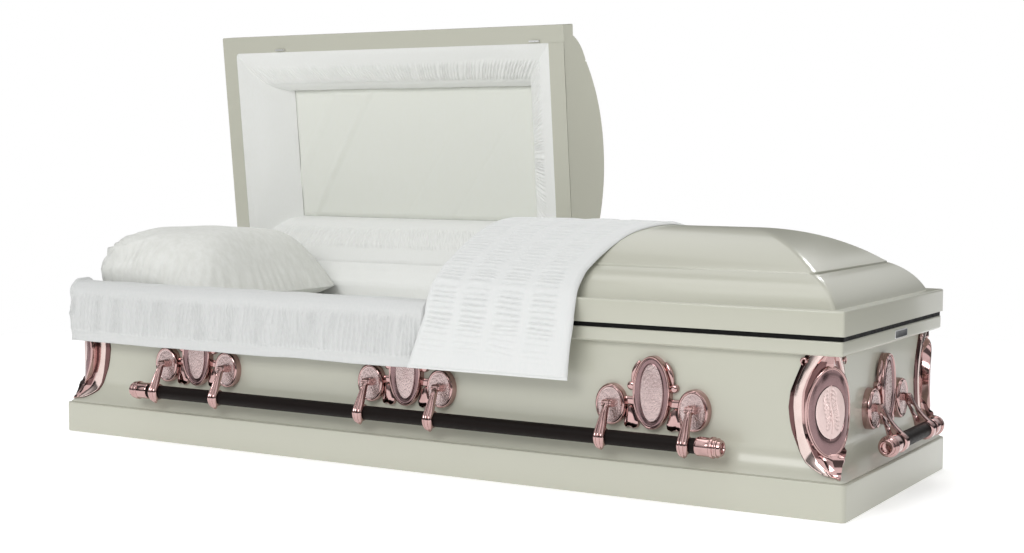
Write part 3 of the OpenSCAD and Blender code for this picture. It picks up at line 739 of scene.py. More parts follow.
def lid_cloth(name, node, body, x0, x1, seed, flat_end, turn=None, step=2.6):
    """Padded rolls with a shirred band along three sides, a flat slope at the far end and a
    sunk panel between them. A second skin closes the back."""
    middle = (x0 + x1) / 2
    hx, hy = (x1 - x0) / 2 - FLANGE_W, LID_Y - FLANGE_W
    low, high = LID_Z + SHEET, LID_Z + TRAY_DEPTH - PANEL_T
    depth, roll, slope = lid_sides()
    at_left = slope * DEEP_END if flat_end < 0 else roll * DEEP_CUT
    at_right = slope * DEEP_END if flat_end > 0 else roll * DEEP_CUT
    at_side = roll * DEEP_SIDE
    z = low + (high - low) * depth
    z_back = low + (LID_Z + TRAY_DEPTH - 0.8 - low) * depth
    s = Shape()
    bends = [(-hx + at_left, -hy + at_side), (hx - at_right, -hy + at_side), (hx - at_right, hy - at_side),
        (-hx + at_left, hy - at_side)]
    for k in range(4):
        (xa, ya), (xb, yb) = bends[k], bends[(k + 1) % 4]
        length = 2 * (hx if k % 2 == 0 else hy)
        f = np.linspace(0, 1, int(length / step))[:, None]
        x, y = xa * (1 - f) + xb * f, ya * (1 - f) + yb * f
        p = np.stack([x, y, z + 0 * x], 2)
        normal = surface_normals(p)
        normal *= -np.sign(normal[..., 2:].mean())
        along = f * length + 0 * x
        across = roll * (DEEP_CUT if k % 2 else DEEP_SIDE) + 0 * x
        if k == (1 if flat_end > 0 else 3):
            lift = 1.6 * wander_2d(along, across, 120, 45, seed + 9 + k)
        else:
            band = smooth((roll - 0.36) / 0.06) * (1 - smooth((roll - 0.76) / 0.07))
            ridges = gathers(along - 0.1 * across, across, 11.5, seed + k, drift=0.2, keen=0.75)
            lift = (ridges - 0.35) * 7.5 * band
            lift = lift + 1.3 * wander_2d(along, across + 0.3 * along, 70, 30, seed + 9 + k) * (1 - band)
        ends = smooth(f * length / 10) * smooth((1 - f) * length / 10)
        lift = lift * ends * smooth(depth / 0.04) * smooth((1 - depth) / 0.06)
        s.grid(p + normal * lift[..., None])
        back = np.stack([x, y, z_back + 0 * x], 2)
        s.grid(np.concatenate([back[:, ::6], back[:, -1:]], 1) + np.array([0, 0, 0.6]), flip=True)
    # the panel tucks under the rolls by this much all round
    tuck = 4
    left, right = -hx + at_left[-1] - tuck, hx - at_right[-1] + tuck
    reach = hy - DEEP_SIDE + tuck
    u, v = np.meshgrid(np.linspace(left, right, int(570 / step)), np.linspace(-reach, reach, 60),
        indexing="ij")
    near = np.minimum(np.minimum(u - left, right - u), reach - np.abs(v))
    height = high + 3 - 9 * smooth(near / 16) - 2.0 * smooth(near / 120) + creases(u, v, seed)
    s.grid(np.stack([u, v, height], 2), slot=1)
    s.grid(np.stack([u, v, np.full_like(u, LID_Z + TRAY_DEPTH - 0.5)], 2)[::10, ::10], flip=True, slot=1)

    def placed(q):
        q = q.copy()
        q[:, 0] += middle
        return turn(q) if turn else q
    obj = s.piece(name, body, [CREPE_PAINTED_LIGHTER, PANEL_WHITE], [node], "lining", turn=placed, sharp=180, weld=0)
    return obj


# Where each crease starts along the panel, its lean, its width and its height
CREASES = [(0.06, -0.62, 15, 4.2), (0.20, -0.62, 11, 5.2), (0.62, -0.75, 4, -1.3), (0.82, -0.75, 4, -1.5)]


def creases(x, y, seed):
    """Two soft tucks near one end of a stretched panel and two thin slanting lines."""
    z = np.zeros_like(x)
    left, right = np.min(x), np.max(x)
    for start, lean, width, rise in CREASES:
        d = x - (left + (right - left) * start) - lean * y
        z += rise * np.exp(-(d / width) ** 2) * (1 + 0.5 * wander_2d(x, y, 40, 40, seed + int(start * 100)))
    return -z - 0.8 * wander_2d(x, y, 110, 90, seed + 50)


# ---- body cloth ----
def body_cloth():
    """Padded lining of the walls: a soft roll at the top and long upright folds below it."""
    hx, hy = WALL_X - SHEET, WALL_Y - SHEET
    thick = 20
    low, high = corners("body_lining")[0][2], corners("body_lining")[1][2]
    section = rounded([(thick - 5, low), (thick - 1, low + 20), (thick - 1, high - 18), (thick - 3, high - 1),
        (thick - 12, high), (2, high), (1, high - 4), (1, low)], [0, 6, 8, 8, 6, 3, 3, 0], 4)
    section = resample(section, 8)[0]
    ring = rect_ring(hx - thick, hy - thick, 20, 8)
    ring = np.vstack([ring, ring[:1]])
    path, around = resample(ring, 6)
    path, around = path[:-1], around[:-1]
    t = np.roll(path, -1, 0) - np.roll(path, 1, 0)
    t /= np.linalg.norm(t, axis=1)[:, None]
    inward_n = np.stack([-t[:, 1], t[:, 0]], 1)
    a, b = np.meshgrid(around, section[:, 1], indexing="ij")
    facing_in = (section[:, 0] > thick - 4.5).astype(float)
    folds = gathers(a, b, pitch=24, seed=51, drift=0.3) * 2.6
    folds = folds * facing_in * smooth((high - 14 - section[:, 1]) / 20)
    depth = section[:, 0][None, :] - thick + folds - 2.4 * facing_in
    x = path[:, 0][:, None] + inward_n[:, 0][:, None] * depth
    y = path[:, 1][:, None] + inward_n[:, 1][:, None] * depth
    s = Shape()
    s.grid(np.stack([x, y, b], 2), around=True, loop=True)
    obj = s.piece("wall_lining", "casket", [CREPE_PAINTED_LIGHTER], ["body_lining"], "lining", sharp=180)
    return obj


def mattress():
    """Soft slab with a crowned top, a piped edge and boxed sides."""
    low, high = corners("mattress")
    hx, hy = high[0], high[1]
    section = [(12, low[2]), (2, low[2] + 8), (0, low[2] + 40), (1, high[2] - 22), (4, high[2] - 10)]
    loop = [(d, d, z, 40) for d, z in rounded(section, 6, 3)]
    for f in np.linspace(0, 1, 26)[1:]:
        d = 4 + f * (hy - 6)
        loop.append((d, d, high[2] - 10 + 9.5 * smooth(d / 60), max(6, 40 * (1 - f))))
    p = ring_sweep(hx, hy, loop, 6)
    s = Shape()
    s.grid(p, around=True)
    s.cap(p[:, 0], flip=True)
    s.cap(p[:, -1])
    obj = s.piece("mattress_pad", "casket", [QUILT_WHITE], ["mattress"], "lining", sharp=50)
    return obj


def pillow():
    """Plump pillow across the head end: blunt towards the head, thin towards the foot, with folds
    that run into its corners and a seam round it."""
    low, high = corners("pillow")
    x0, x1, hy = -1036.0, high[0] - 2, 300.0
    cx, hx = (x0 + x1) / 2, (x1 - x0) / 2
    n = 240
    t = full_turn(n)
    rho = np.concatenate([np.linspace(0.02, 0.9, 50), np.linspace(0.9, 1.0, 37)[1:]])
    c, sn = np.cos(t), np.sin(t)
    edge = (np.abs(c) ** 7 + np.abs(sn) ** 7) ** (-1 / 7)
    u, v = np.outer(edge * c, rho), np.outer(edge * sn, rho)
    r = np.tile(rho, (n, 1))
    x, y = cx + hx * u, hy * v
    foot_side = smooth((u + 0.25) / 1.25)
    full = (1 - r ** (4.5 - 2.7 * foot_side)) ** (0.42 + 0.36 * foot_side)
    seam_z = 440 - 78 * foot_side - 16 * np.clip(-v, 0, 1) * (1 - foot_side)
    corner_d = np.hypot(x - x0, y + hy)
    angle = np.arctan2(y + hy, x - x0)
    folds = np.abs(np.sin(angle * 8.5 + 0.6 * np.sin(corner_d / 60))) * np.exp(-((corner_d - 95) / 85) ** 2)
    far_d = np.hypot(x - x0, y - hy)
    folds += 0.6 * np.abs(np.sin(np.arctan2(hy - y, x - x0) * 8)) * np.exp(-((far_d - 90) / 80) ** 2)
    rim = np.abs(np.sin(t * 26 + 1.2 * np.sin(t * 7)))[:, None] * np.exp(-((1 - r) / 0.16) ** 2)
    soft = wander_2d(x, y, 95, 95, seed=12, reach=4.5) * (1 - r ** 4)
    up = (high[2] - 8 - seam_z) * full
    down = (seam_z - low[2]) * np.minimum(1, full * 1.5)
    relief = -14 * folds - 6.0 * rim * (r < 0.999) + soft
    x, y = x + u * relief * r ** 4, y + v * relief * r ** 4
    top = seam_z + up * (1 - 0.10 * np.clip(v, 0, 1)) + relief * np.minimum(1, full * 3)
    bottom = np.maximum(seam_z - down + 0.3 * relief * np.minimum(1, full * 3), low[2])
    over_skirt = smooth((-v * hy - 262) / 30)
    bottom = np.maximum(bottom, low[2] + 46 * over_skirt * (1 - 0.4 * foot_side))
    bottom = np.minimum(bottom, top)
    top = np.minimum(top, high[2])
    s = Shape()
    top, bottom = np.stack([x, y, top], 2), np.stack([x, y, bottom], 2)
    s.grid(top, around=True)
    s.grid(bottom, around=True, flip=True)
    s.cap(top[:, 0])
    s.cap(bottom[:, 0], flip=True)
    obj = s.piece("head_pillow", "casket", [QUILT_WHITE], ["pillow"], "pillow", sharp=180)
    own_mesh(obj)
    return obj


def apron():
    """Cloth that hangs from the lid's hinge side down into the body and hides the rim there."""
    path = rounded([(342.5, 425), (330, 404), (312, 382), (303, 374), (298.3, 362), (297.5, 332)],
        [0, 20, 20, 12, 16, 0], 6)
    path, along = resample(path, 4)
    nrm = normals_2d(path)
    x = np.arange(-WALL_X + 26, HEAD_CUT - 4, 4.0)
    a, b = np.meshgrid(x, along, indexing="ij")
    lift = 1.6 * wander_2d(a + 0.5 * b, b, 60, 40, seed=91) + 0.8 * wander_2d(a, b, 22, 30, seed=92)
    lift *= smooth(b / 12) * smooth((along[-1] - b) / 12)
    top = np.stack([a, path[:, 0] - nrm[:, 0] * (lift + 1.2), path[:, 1] - nrm[:, 1] * (lift + 1.2)], 2)
    under = np.stack([a, path[:, 0] - nrm[:, 0] * lift, path[:, 1] - nrm[:, 1] * lift], 2)
    s = Shape()
    s.grid(top)
    s.grid(under, flip=True)
    for i in (0, -1):
        s.grid(np.stack([top[i], under[i]], 0), flip=i == 0)
        s.grid(np.stack([top[:, i], under[:, i]], 0), flip=i != 0)
    obj = s.piece("hinge_apron", "casket", [CREPE_PAINTED_LIGHTER], (), "lining", sharp=180)
    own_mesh(obj)
    return obj


def skirt():
    """Padded cloth folded over the rim: tucked flap, soft roll, pleated band and plain hem."""
    low = corners("skirt")[0]
    x0, x1 = low[0], HEAD_CUT - 0.5
    z_seat = RIM_TOP + 10.2
    out = -RIM_Y - 12
    thick = 16
    hem = low[2] + 1
    ledge = -RIM_Y + LEDGE_W
    section = rounded([(ledge + 8, RIM_TOP - 28), (ledge + 9, z_seat + 12), (-RIM_Y + 30, z_seat + 25),
        (-RIM_Y - 10, z_seat + 24), (out - thick, z_seat + 6), (out - thick, z_seat - 30),
        (out - thick + 2, hem + 24), (out - thick + 3, hem)], [0, 14, 16, 22, 22, 20, 20, 0], 6)
    back = [(out - 4, hem - 0.5), (out - 1, hem + 8), (out - 1, z_seat + 0.5), (ledge, z_seat + 0.7),
        (ledge + 1, RIM_TOP - 28)]
    front, s_front = resample(section, 3.4)
    length = s_front[-1]
    xs = np.arange(x0, x1 + 0.1, 2.1)
    a, b = np.meshgrid(xs, s_front, indexing="ij")
    from_hem = length - b
    pleats = gathers(a + 0.12 * b, b, pitch=12.5, seed=7, drift=0.45, keen=0.75)
    band = smooth((from_hem - 22) / 10) * (1 - smooth((from_hem - 108) / 18))
    pucker = np.exp(-((from_hem - (length - 52)) / 12) ** 2)
    puckers = gathers(a, b, pitch=14, seed=21, drift=0.4)
    lift = 9.0 * (pleats - 0.8) * band + 5.0 * (puckers - 0.8) * pucker
    lift += 2.0 * wander_2d(a, b, 70, 50, seed=33) * (1 - band)
    lift += -1.6 * np.exp(-((from_hem - 20) / 2.5) ** 2) - 1.2 * np.exp(-(from_hem / 2.5) ** 2)
    ends = smooth((a - x0) / 9) * smooth((x1 - a) / 9)
    lift -= (1 - ends) * 7
    y, z = offset(front, normals_2d(front), lift)
    z = z + (from_hem < 40) * wander(a, 90, seed=5, reach=1.6)
    p_front = np.stack([a, y, z], 2)
    p_back = np.stack([np.stack([xs, np.full_like(xs, q[0]), np.full_like(xs, q[1])], 1) for q in back], 1)
    flap = smooth((xs - (x0 + 44)) / 3)[:, None]
    s = Shape()
    p = np.concatenate([p_front, p_back], 1)
    # at the head corner the flap stays on top of the rim
    stay = p[..., 1] > -RIM_Y + 40
    p[..., 2] = np.where(stay & (flap < 0.5), np.maximum(p[..., 2], z_seat + 1), p[..., 2])
    p[..., 1] = np.where(stay & (flap < 0.5), np.minimum(p[..., 1], -RIM_Y + 42), p[..., 1])
    s.grid(p, loop=True)
    s.cap(p[0], flip=True)
    s.cap(p[-1])
    obj = s.piece("front_skirt", "casket", [SKIRT_PAINTED_DARKER], ["skirt"], "skirt", sharp=180)
    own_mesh(obj)
    return obj


def throw():
    """Throw over the foot lid: columns of gathers between plain bands, with a plain hem."""
    low, high = corners("throw")
    hull = []
    for q in sorted((-(LID_Y - a), z) for a, z in lid_outline() if z > LID_Z + 46):
        while len(hull) > 1 and (hull[-1][0] - hull[-2][0]) * (q[1] - hull[-2][1]) >= (
                hull[-1][1] - hull[-2][1]) * (q[0] - hull[-2][0]):
            hull.pop()
        hull.append(q)
    back = [(-y, z) for y, z in hull[::-1] if -y < 188]
    # the quilted cloth is stiff, so it stands off the lid's edge in one easy curve
    front = [(-LID_Y - 39, low[2] + 1), (-LID_Y - 33, LID_Z - 45), (-LID_Y - 24, LID_Z + 18),
        (-LID_Y, LID_Z + 64), (-LID_Y + 50, LID_Z + 103), (-LID_Y + 108, LID_Z + 133),
        (-LID_Y + 170, LID_Z + 160)]
    under = front + [q for q in hull if q[0] > -LID_Y + 205] + back[1:]
    under, s_along = resample(rounded(under, 70, 6), 1.7)
    nrm = normals_2d(under)
    length = s_along[-1]
    u, b = np.meshgrid(np.linspace(0, 1, 84), s_along, indexing="ij")
    at_rim = s_along[np.argmin(np.abs(under[:, 1] - LID_Z) + (under[:, 0] > 0) * 900)]
    at_crown = s_along[np.argmin(np.abs(under[:, 0]))]
    left = np.interp(s_along, [0, at_rim, at_crown, length], [40, 79.5, 82, 92])
    reach = at_crown - at_rim
    knots = [0, at_rim * 0.9, at_rim + reach * 0.35, at_rim + reach * 0.7, at_crown, length]
    right = np.interp(s_along, knots, [452, 462, 448, 470, 512, 530])
    ease = np.ones(41) / 41
    right = np.convolve(np.pad(right, 20, mode="edge"), ease, mode="valid")
    left = left + 1.5 * wander(s_along, 60, seed=81)
    right = right + 2.0 * wander(s_along, 75, seed=82)
    a = left[None] * (1 - u) + right[None] * u
    width = high[0] - low[0]
    columns = np.zeros_like(u)
    for c in (0.12, 0.345, 0.575, 0.805):
        columns = np.maximum(columns, 1 - smooth((np.abs(u - c) - 0.06) / 0.04))
    columns *= smooth((b - 26) / 30) * (0.45 + 0.55 * smooth((b - 60) / 80))
    ridges = gathers(b + 0.04 * u * width, u * width, pitch=12.5, seed=61, drift=0.18, keen=0.9)
    lift = 7.5 + 7.6 * (ridges - 0.55) * columns
    lift += 1.4 * wander_2d(u * width, b, 70, 60, seed=71) * (1 - columns)
    edges = smooth(u * width / 8) * smooth((1 - u) * width / 8) * smooth(b / 10) * smooth((length - b) / 14)
    lift = np.clip(lift * edges, 1.6, 13.5)
    top = np.stack([a, *offset(under, nrm, lift)], 2)
    sides = a[[0, -1]]
    bottom = np.stack([sides, *offset(under, nrm, 0.5 + 0 * sides)], 2)
    s = Shape()
    s.grid(top)
    s.grid(bottom, flip=True)
    for i in (0, -1):
        s.grid(np.stack([top[i], bottom[i]], 0), flip=i == 0)
        s.cap(np.vstack([top[:, i], bottom[::-1, i]]), flip=i == 0)
    obj = s.piece("lid_throw", "foot_lid", [THROW_PAINTED_DARKER], ["throw"], "throw", sharp=180)
    return obj


# ---- hardware: ovals, lugs, arms and bars ----
def oval_ring(a, b, cx, cz, h, n=60):
    """An oval ring facing -Y, h out from the wall."""
    t = full_turn(n)
    return np.stack([cx + a * np.cos(t), np.full(n, -h), cz + b * np.sin(t)], 1)


def boss(s, a, b, cx, cz, profile, face_from, band_from=99, n=60, crown=1.5):
    """An oval boss from (inset, height) steps, closed by a lightly crowned face."""
    rings = [oval_ring(a - i, b - i, cx, cz, h, n) for i, h in profile]
    slots = [1 if i >= face_from else 2 if i >= band_from else 0 for i, _ in profile[:-1]]
    s.hoops(rings, flip=True, slot=slots)
    i, h = profile[-1]
    grain = np.random.default_rng(int(a * 10 + abs(cx)))
    inner = []
    for f in np.linspace(1, 0.04, int((b - i) / 2.2)):
        ring = oval_ring((a - i) * f, (b - i) * f, cx, cz, h + crown * (1 - f * f), n)
        if 0.05 < f < 0.98:
            ring[:, 1] += grain.uniform(-0.38, 0.38, n) * min(1, 2.5 * f)
        inner.append(ring)
    s.hoops(inner, flip=True, slot=1)
    s.cap(inner[-1], flip=True, slot=1)
    s.cap(rings[0])


def pad(s, outline, cx, cz, height):
    """A raised leaf shape: the outline steps up and crowns towards its middle."""
    outline = np.array(outline, float)
    centre = outline.mean(0)
    rings = []
    for f, h in ((1.0, 0), (1.0, 0.6), (0.94, 0.82), (0.8, 0.9), (0.5, 1), (0.2, 1), (0.03, 1)):
        q = centre + (outline - centre) * f
        rings.append(np.stack([cx + q[:, 0], np.full(len(q), -height * h), cz + q[:, 1]], 1))
    s.hoops(rings)
    s.cap(rings[-1])
    s.cap(rings[0], flip=True)


def tube(s, path, radii, n=12):
    """A round bead along a 3-D path."""
    path = np.array(path, float)
    t = np.gradient(path, axis=0)
    t /= np.linalg.norm(t, axis=1)[:, None]
    side = np.cross(t, np.array([0.3, 1, 0.2]))
    side /= np.linalg.norm(side, axis=1)[:, None]
    up = np.cross(side, t)
    a = full_turn(n)
    rings = [path[i] + radii[i] * (np.outer(np.cos(a), side[i]) + np.outer(np.sin(a), up[i]))
        for i in range(len(path))]
    s.hoops(rings)
    s.cap(rings[0], flip=True)
    s.cap(rings[-1])


# How the oval plate and the discs of a lug step in and out, as (inset, height)
PLATE_STEPS = [(0, 0), (0, 14), (0.8, 17), (2.2, 18.6), (3.6, 18.4), (4.6, 16.8), (5.4, 16.2), (7, 16.6),
    (10, 16.4), (13, 15.8), (14.8, 15.4), (15.4, 16.6), (16.6, 17), (17.4, 16.2), (18, 15)]
DRUM_STEPS = [(0, 0), (0, 13), (0.8, 16), (2.2, 18.4), (4.4, 19.6), (6.4, 19), (7.6, 17.4), (8.8, 17)]
OVAL_Z = PIVOT_Z + 28
DISC_Z = PIVOT_Z - 3


def petal_outline(side):
    """A bell-shaped petal that flares downwards."""
    p = [(2, 26), (9, 24), (13, 12), (17, -2), (19, -16), (15, -24), (6, -20), (-4, -25), (-15, -21),
        (-17, -10), (-12, 4), (-7, 18)]
    return rounded([(side * x, z) for x, z in (p if side > 0 else p[::-1])], 7, 4, closed=True)


def lug_mesh():
    """Oval plate with a disc at each side, petals and buds between them, and ears for the arms."""
    s = Shape()
    boss(s, 44, 79, 0, OVAL_Z, PLATE_STEPS, face_from=17.5, band_from=5)
    for side in (-1, 1):
        cx = side * ARM_PITCH / 2
        boss(s, 36, 45, cx, DISC_Z, DRUM_STEPS, face_from=6, crown=0.6)
        # neck, petal and bud between disc and oval
        neck = rounded([(-26, -10), (26, -10), (26, 8), (-26, 8)], 6, 3, closed=True)
        pad(s, neck, side * 50, PIVOT_Z + 8, 8)
        pad(s, petal_outline(side), side * 49, PIVOT_Z - 28, 11)
        pad(s, [(9.5 * math.cos(t), 9.5 * math.sin(t)) for t in full_turn(24)], side * 50, PIVOT_Z + 40, 13)
        # leaf that hugs the oval above the bud
        turns = np.radians(np.linspace(12, 52, 20))
        hug = [(side * 49 * math.cos(a), -8.0, OVAL_Z + 85 * math.sin(a)) for a in turns]
        tube(s, hug, [1.2 + 5.2 * math.sin(math.pi * (k + 0.6) / 20.6) for k in range(20)])
        # ears and pin that carry the arm
        for ear in (-1, 1):
            x = cx + ear * 9.5
            profile = [(-PIVOT_OUT - 7.5 * math.cos(t), PIVOT_Z + 7.5 * math.sin(t))
                for t in np.linspace(-1.57, 1.57, 12)]
            profile = [(-17.0, PIVOT_Z - 7.5)] + profile + [(-17.0, PIVOT_Z + 7.5)]
            rings = [[(x + dx, y, z) for y, z in profile] for dx in (-2, 2)]
            s.grid(np.array(rings), loop=True)
            s.cap(np.array(rings[0]))
            s.cap(np.array(rings[1]), flip=True)
    return s.mesh("lug", [ROSE, ROSE_STIPPLED, ROSE_SATIN], sharp=42)


def bar_axis(bar):
    """Where a bar's middle line hangs, as (y, z)."""
    return -PIVOT_OUT - bar["out"], PIVOT_Z - bar["drop"]


def hoop(x, r, centre, n):
    """A ring of n points about a line along X through centre, given as (y, z)."""
    a = full_turn(n)
    return np.stack([np.full(n, x), centre[0] + r * np.cos(a), centre[1] + r * np.sin(a)], 1)


def arm_path(bar):
    """Where an arm runs, as (y, z): from the pin out over the front of its bar and under it."""
    by, bz = bar_axis(bar)
    r = BAR_D / 2 + 3.0
    hook = [(by + r * math.cos(a), bz + r * math.sin(a)) for a in np.radians(np.linspace(165, 262, 10))]
    start = [(-PIVOT_OUT + 3, PIVOT_Z + 4), (-PIVOT_OUT - 3, PIVOT_Z + 3), (-PIVOT_OUT - 7, PIVOT_Z - 6)]
    return resample(rounded(start + hook, [0, 4, 12] + [0] * 10, 6), 2.0)


def side_arm_mesh():
    """Fluted drop that hangs from the pin in front of the bar and hooks under it."""
    path, along = arm_path(SIDE_BAR)
    nrm = normals_2d(path)
    t = along / along[-1]
    half = np.interp(t, [0, 0.12, 0.3, 0.55, 0.75, 0.9, 0.97, 1], [6, 7, 9, 12.5, 14, 12, 7.5, 3])
    u = np.linspace(-1, 1, 25)
    rings = []
    for i in range(len(path)):
        flute = 2.4 * (np.abs(np.cos(u * math.pi * 1.5)) - 0.5) * smooth((t[i] - 0.1) / 0.2)
        crown = 8.0 * np.sqrt(np.clip(1 - u * u, 0, 1)) + flute * np.clip(1.2 - u * u, 0, 1)
        crown *= 0.45 + 0.55 * smooth((t[i] - 0.03) / 0.18)
        x = np.r_[half[i] * u, half[i] * u[::-1]]
        h = np.r_[crown, np.full(len(u), -1.5)]
        rings.append(np.stack([x, path[i, 0] - nrm[i, 0] * h, path[i, 1] - nrm[i, 1] * h], 1))
    s = Shape()
    p = np.array(rings)
    s.grid(p, loop=True)
    s.cap(p[0], flip=True)
    s.cap(p[-1])
    knob(s)
    bracket(s, SIDE_BAR, 7)
    return s.mesh("side_arm", [ROSE], sharp=50)


def knob(s):
    """Round eye on the pin."""
    steps = [(-7, 4), (-7, 7), (-6, 8.4), (6, 8.4), (7, 7), (7, 4)]
    rings = [hoop(x, r, (-PIVOT_OUT, PIVOT_Z), 32) for x, r in steps]
    s.hoops(rings)
    s.cap(rings[0])
    s.cap(rings[-1], flip=True)


def bracket(s, bar, half):
    """Band round the back of the bar, under the arm's foot."""
    steps = [(-half, 0.2), (-half, 2), (-half + 1.5, 3.2), (half - 1.5, 3.2), (half, 2), (half, 0.2)]
    s.hoops([hoop(x, BAR_D / 2 + thick, bar_axis(bar), 48) for x, thick in steps], loop=True)


def end_arm_mesh():
    """Upright plate with an almond opening, narrow at the pin and flaring to a foot round the bar."""
    pin = np.array([-PIVOT_OUT, PIVOT_Z])
    bar = np.array(bar_axis(END_BAR))
    small, big, half = 8.5, BAR_D / 2 + 5.5, 7.0
    gap = np.linalg.norm(bar - pin)
    u = (bar - pin) / gap
    v = np.array([-u[1], u[0]])
    beta = math.acos((small - big) / gap)

    def on(centre, r, a):
        return centre + r * (u * math.cos(a) + v * math.sin(a))
    outline = [on(pin, small, a) for a in np.linspace(beta, 2 * math.pi - beta, 16)]
    sides = np.linspace(0, 1, 12)[1:-1]
    low_a, low_b = on(pin, small, -beta), on(bar, big, -beta)
    high_a, high_b = on(bar, big, beta), on(pin, small, beta)
    outline += [low_a * (1 - f) + low_b * f + v * 5.5 * math.sin(math.pi * f) for f in sides]
    outline += [on(bar, big, a) for a in np.linspace(-beta, beta, 24)]
    outline += [high_a * (1 - f) + high_b * f - v * 5.5 * math.sin(math.pi * f) for f in sides]
    outline = np.array(outline)
    eye = pin + u * gap * 0.40
    rel = outline - eye
    angle = np.arctan2(rel @ v, rel @ u)
    across = 5.2 * np.sin(angle) * np.abs(np.sin(angle)) ** 0.3
    hole = eye + np.outer(15 * np.cos(angle), u) + np.outer(across, v)
    # share of the way from the opening to the outline, and x
    steps = [(0.0, -half), (0.0, half), (0.12, half + 1.6), (0.5, half + 2.2), (0.9, half + 1.6),
        (1.0, half), (1.0, -half), (0.9, -half - 1.6), (0.5, -half - 2.2), (0.12, -half - 1.6)]
    loops = []
    for f, x in steps:
        q = hole * (1 - f) + outline * f
        loops.append(np.stack([np.full(len(q), x), q[:, 0], q[:, 1]], 1))
    s = Shape()
    s.hoops(loops, loop=True)
    knob(s)
    return s.mesh("end_arm", [ROSE], sharp=40)


def bar_mesh(bar, name):
    """Round bar with eased ends, along X."""
    r, l = BAR_D / 2, bar["length"] / 2
    steps = [(-l, r - 1), (-l + 1, r)] + [(x, r) for x in np.linspace(-l + 20, l - 20, 24)]
    steps += [(l - 1, r), (l, r - 1)]
    rings = [hoop(x, radius, bar_axis(bar), 48) for x, radius in steps]
    s = Shape()
    s.hoops(rings)
    s.cap(rings[0])
    s.cap(rings[-1], flip=True)
    return s.mesh(name, [BAR], sharp=50)


def cap_mesh(bar, side, name):
    """Stepped, turned cap with a dished socket in its end."""
    r = BAR_D / 2
    steps = [(-35, r + 0.1), (-35, r + 2.6), (-31, r + 3.8), (-6, r + 3.8), (-4, r + 2.6), (-2, r + 6.2),
        (4, r + 6.4), (5.5, r + 3), (9, r + 3), (10, r + 4.4), (13, r + 4.4), (14.2, r + 1.4), (20, r + 0.6),
        (21.6, r - 1), (21.6, r - 4.6), (14, r - 6), (14, 2)]
    steps = rounded(steps, [0, 1, 1.5, 1.5, 0.8, 1.5, 2, 1, 1, 1, 1, 1, 1.5, 1.2, 1.2, 1, 0], 3)
    end = side * bar["length"] / 2
    rings = [hoop(end + side * x, q, bar_axis(bar), 56) for x, q in steps]
    s = Shape()
    s.hoops(rings)
    s.cap(rings[-1])
    s.cap(rings[0])
    return s.mesh(name, [ROSE], sharp=40)


# Turn about Z that takes a front piece to each wall, and where that wall stands
WALLS = {
    "front": (0, (0, -WALL_Y, 0)),
    "back": (180, (0, WALL_Y, 0)),
    "foot_end": (90, (WALL_X, 0, 0)),
    "head_end": (-90, (-WALL_X, 0, 0)),
}


def on_wall(mesh, name, body, wall, x, replaces):
    """A copy of a hardware mesh on one wall, x along it."""
    obj = bpy.data.objects.new(name, mesh.copy())
    angle, place = WALLS[wall]
    there = Matrix.Translation(Vector(place) * MM) @ Matrix.Rotation(math.radians(angle), 4, "Z")
    obj.data.transform(there @ Matrix.Translation((x * MM, 0, 0)))
    return put(obj, body, replaces)


def handles():
    """All lugs, arms, bars and caps, with every lug and arm a copy of one mesh."""
    lug = lug_mesh()
    side_arm, end_arm = side_arm_mesh(), end_arm_mesh()
    for wall in ("front", "back"):
        for i in (1, 2, 3):
            x = (i - 2) * LUG_PITCH
            on_wall(lug, f"{wall}_lug_{i}", "casket", wall, x, [f"lug_{wall}_{i}"])
        for i in range(1, 7):
            lug_x = ((i + 1) // 2 - 2) * LUG_PITCH
            x = lug_x + (-1 if i % 2 else 1) * ARM_PITCH / 2
            on_wall(side_arm, f"{wall}_arm_{i}", f"handle_{wall}", wall, x, [f"arm_{wall}_{i}"])
    for wall in ("foot_end", "head_end"):
        on_wall(lug, f"{wall}_lug", "casket", wall, 0, [f"lug_{wall}"])
        for i, side in ((1, -1), (2, 1)):
            x = side * ARM_PITCH / 2
            on_wall(end_arm, f"{wall}_arm_{i}", f"handle_{wall}", wall, x, [f"arm_{wall}_{i}"])
    for wall in WALLS:
        bar = SIDE_BAR if wall in ("front", "back") else END_BAR
        on_wall(bar_mesh(bar, "bar"), f"{wall}_bar", f"handle_{wall}", wall, 0, [f"bar_{wall}"])
        for i, side in ((1, -1), (2, 1)):
            on_wall(cap_mesh(bar, side, "cap"), f"{wall}_bar_cap_{i}", f"handle_{wall}", wall, 0,
                [f"bar_{wall}_cap_{i}"])


# ---- corner castings ----
# Height above the floor and distance from the corner of the walls, of the outer edge of each band
EDGE_TABLE = [(87, 0), (91, 10), (104, 19), (119, 29), (140, 40), (159, 49), (177, 54), (193, 58), (217, 60),
    (237, 60), (257, 58), (278, 51), (297, 42), (312, 31), (324, 22), (332, 15)]
BAND_TABLE = [(85, 0.5), (91, 26), (97, 37), (110, 52), (131, 61.5), (150, 67), (159, 69.6), (191, 75),
    (223, 78), (243, 77.5), (272, 71.7), (299, 60.7), (315, 52), (332, 44)]
OUTER_TABLE = [(84.5, 1), (89, 26), (97, 41), (110, 56), (131, 65), (150, 73), (174, 83), (196, 88),
    (222, 91), (255, 87), (279, 78), (298, 70), (311, 65), (332, 56)]
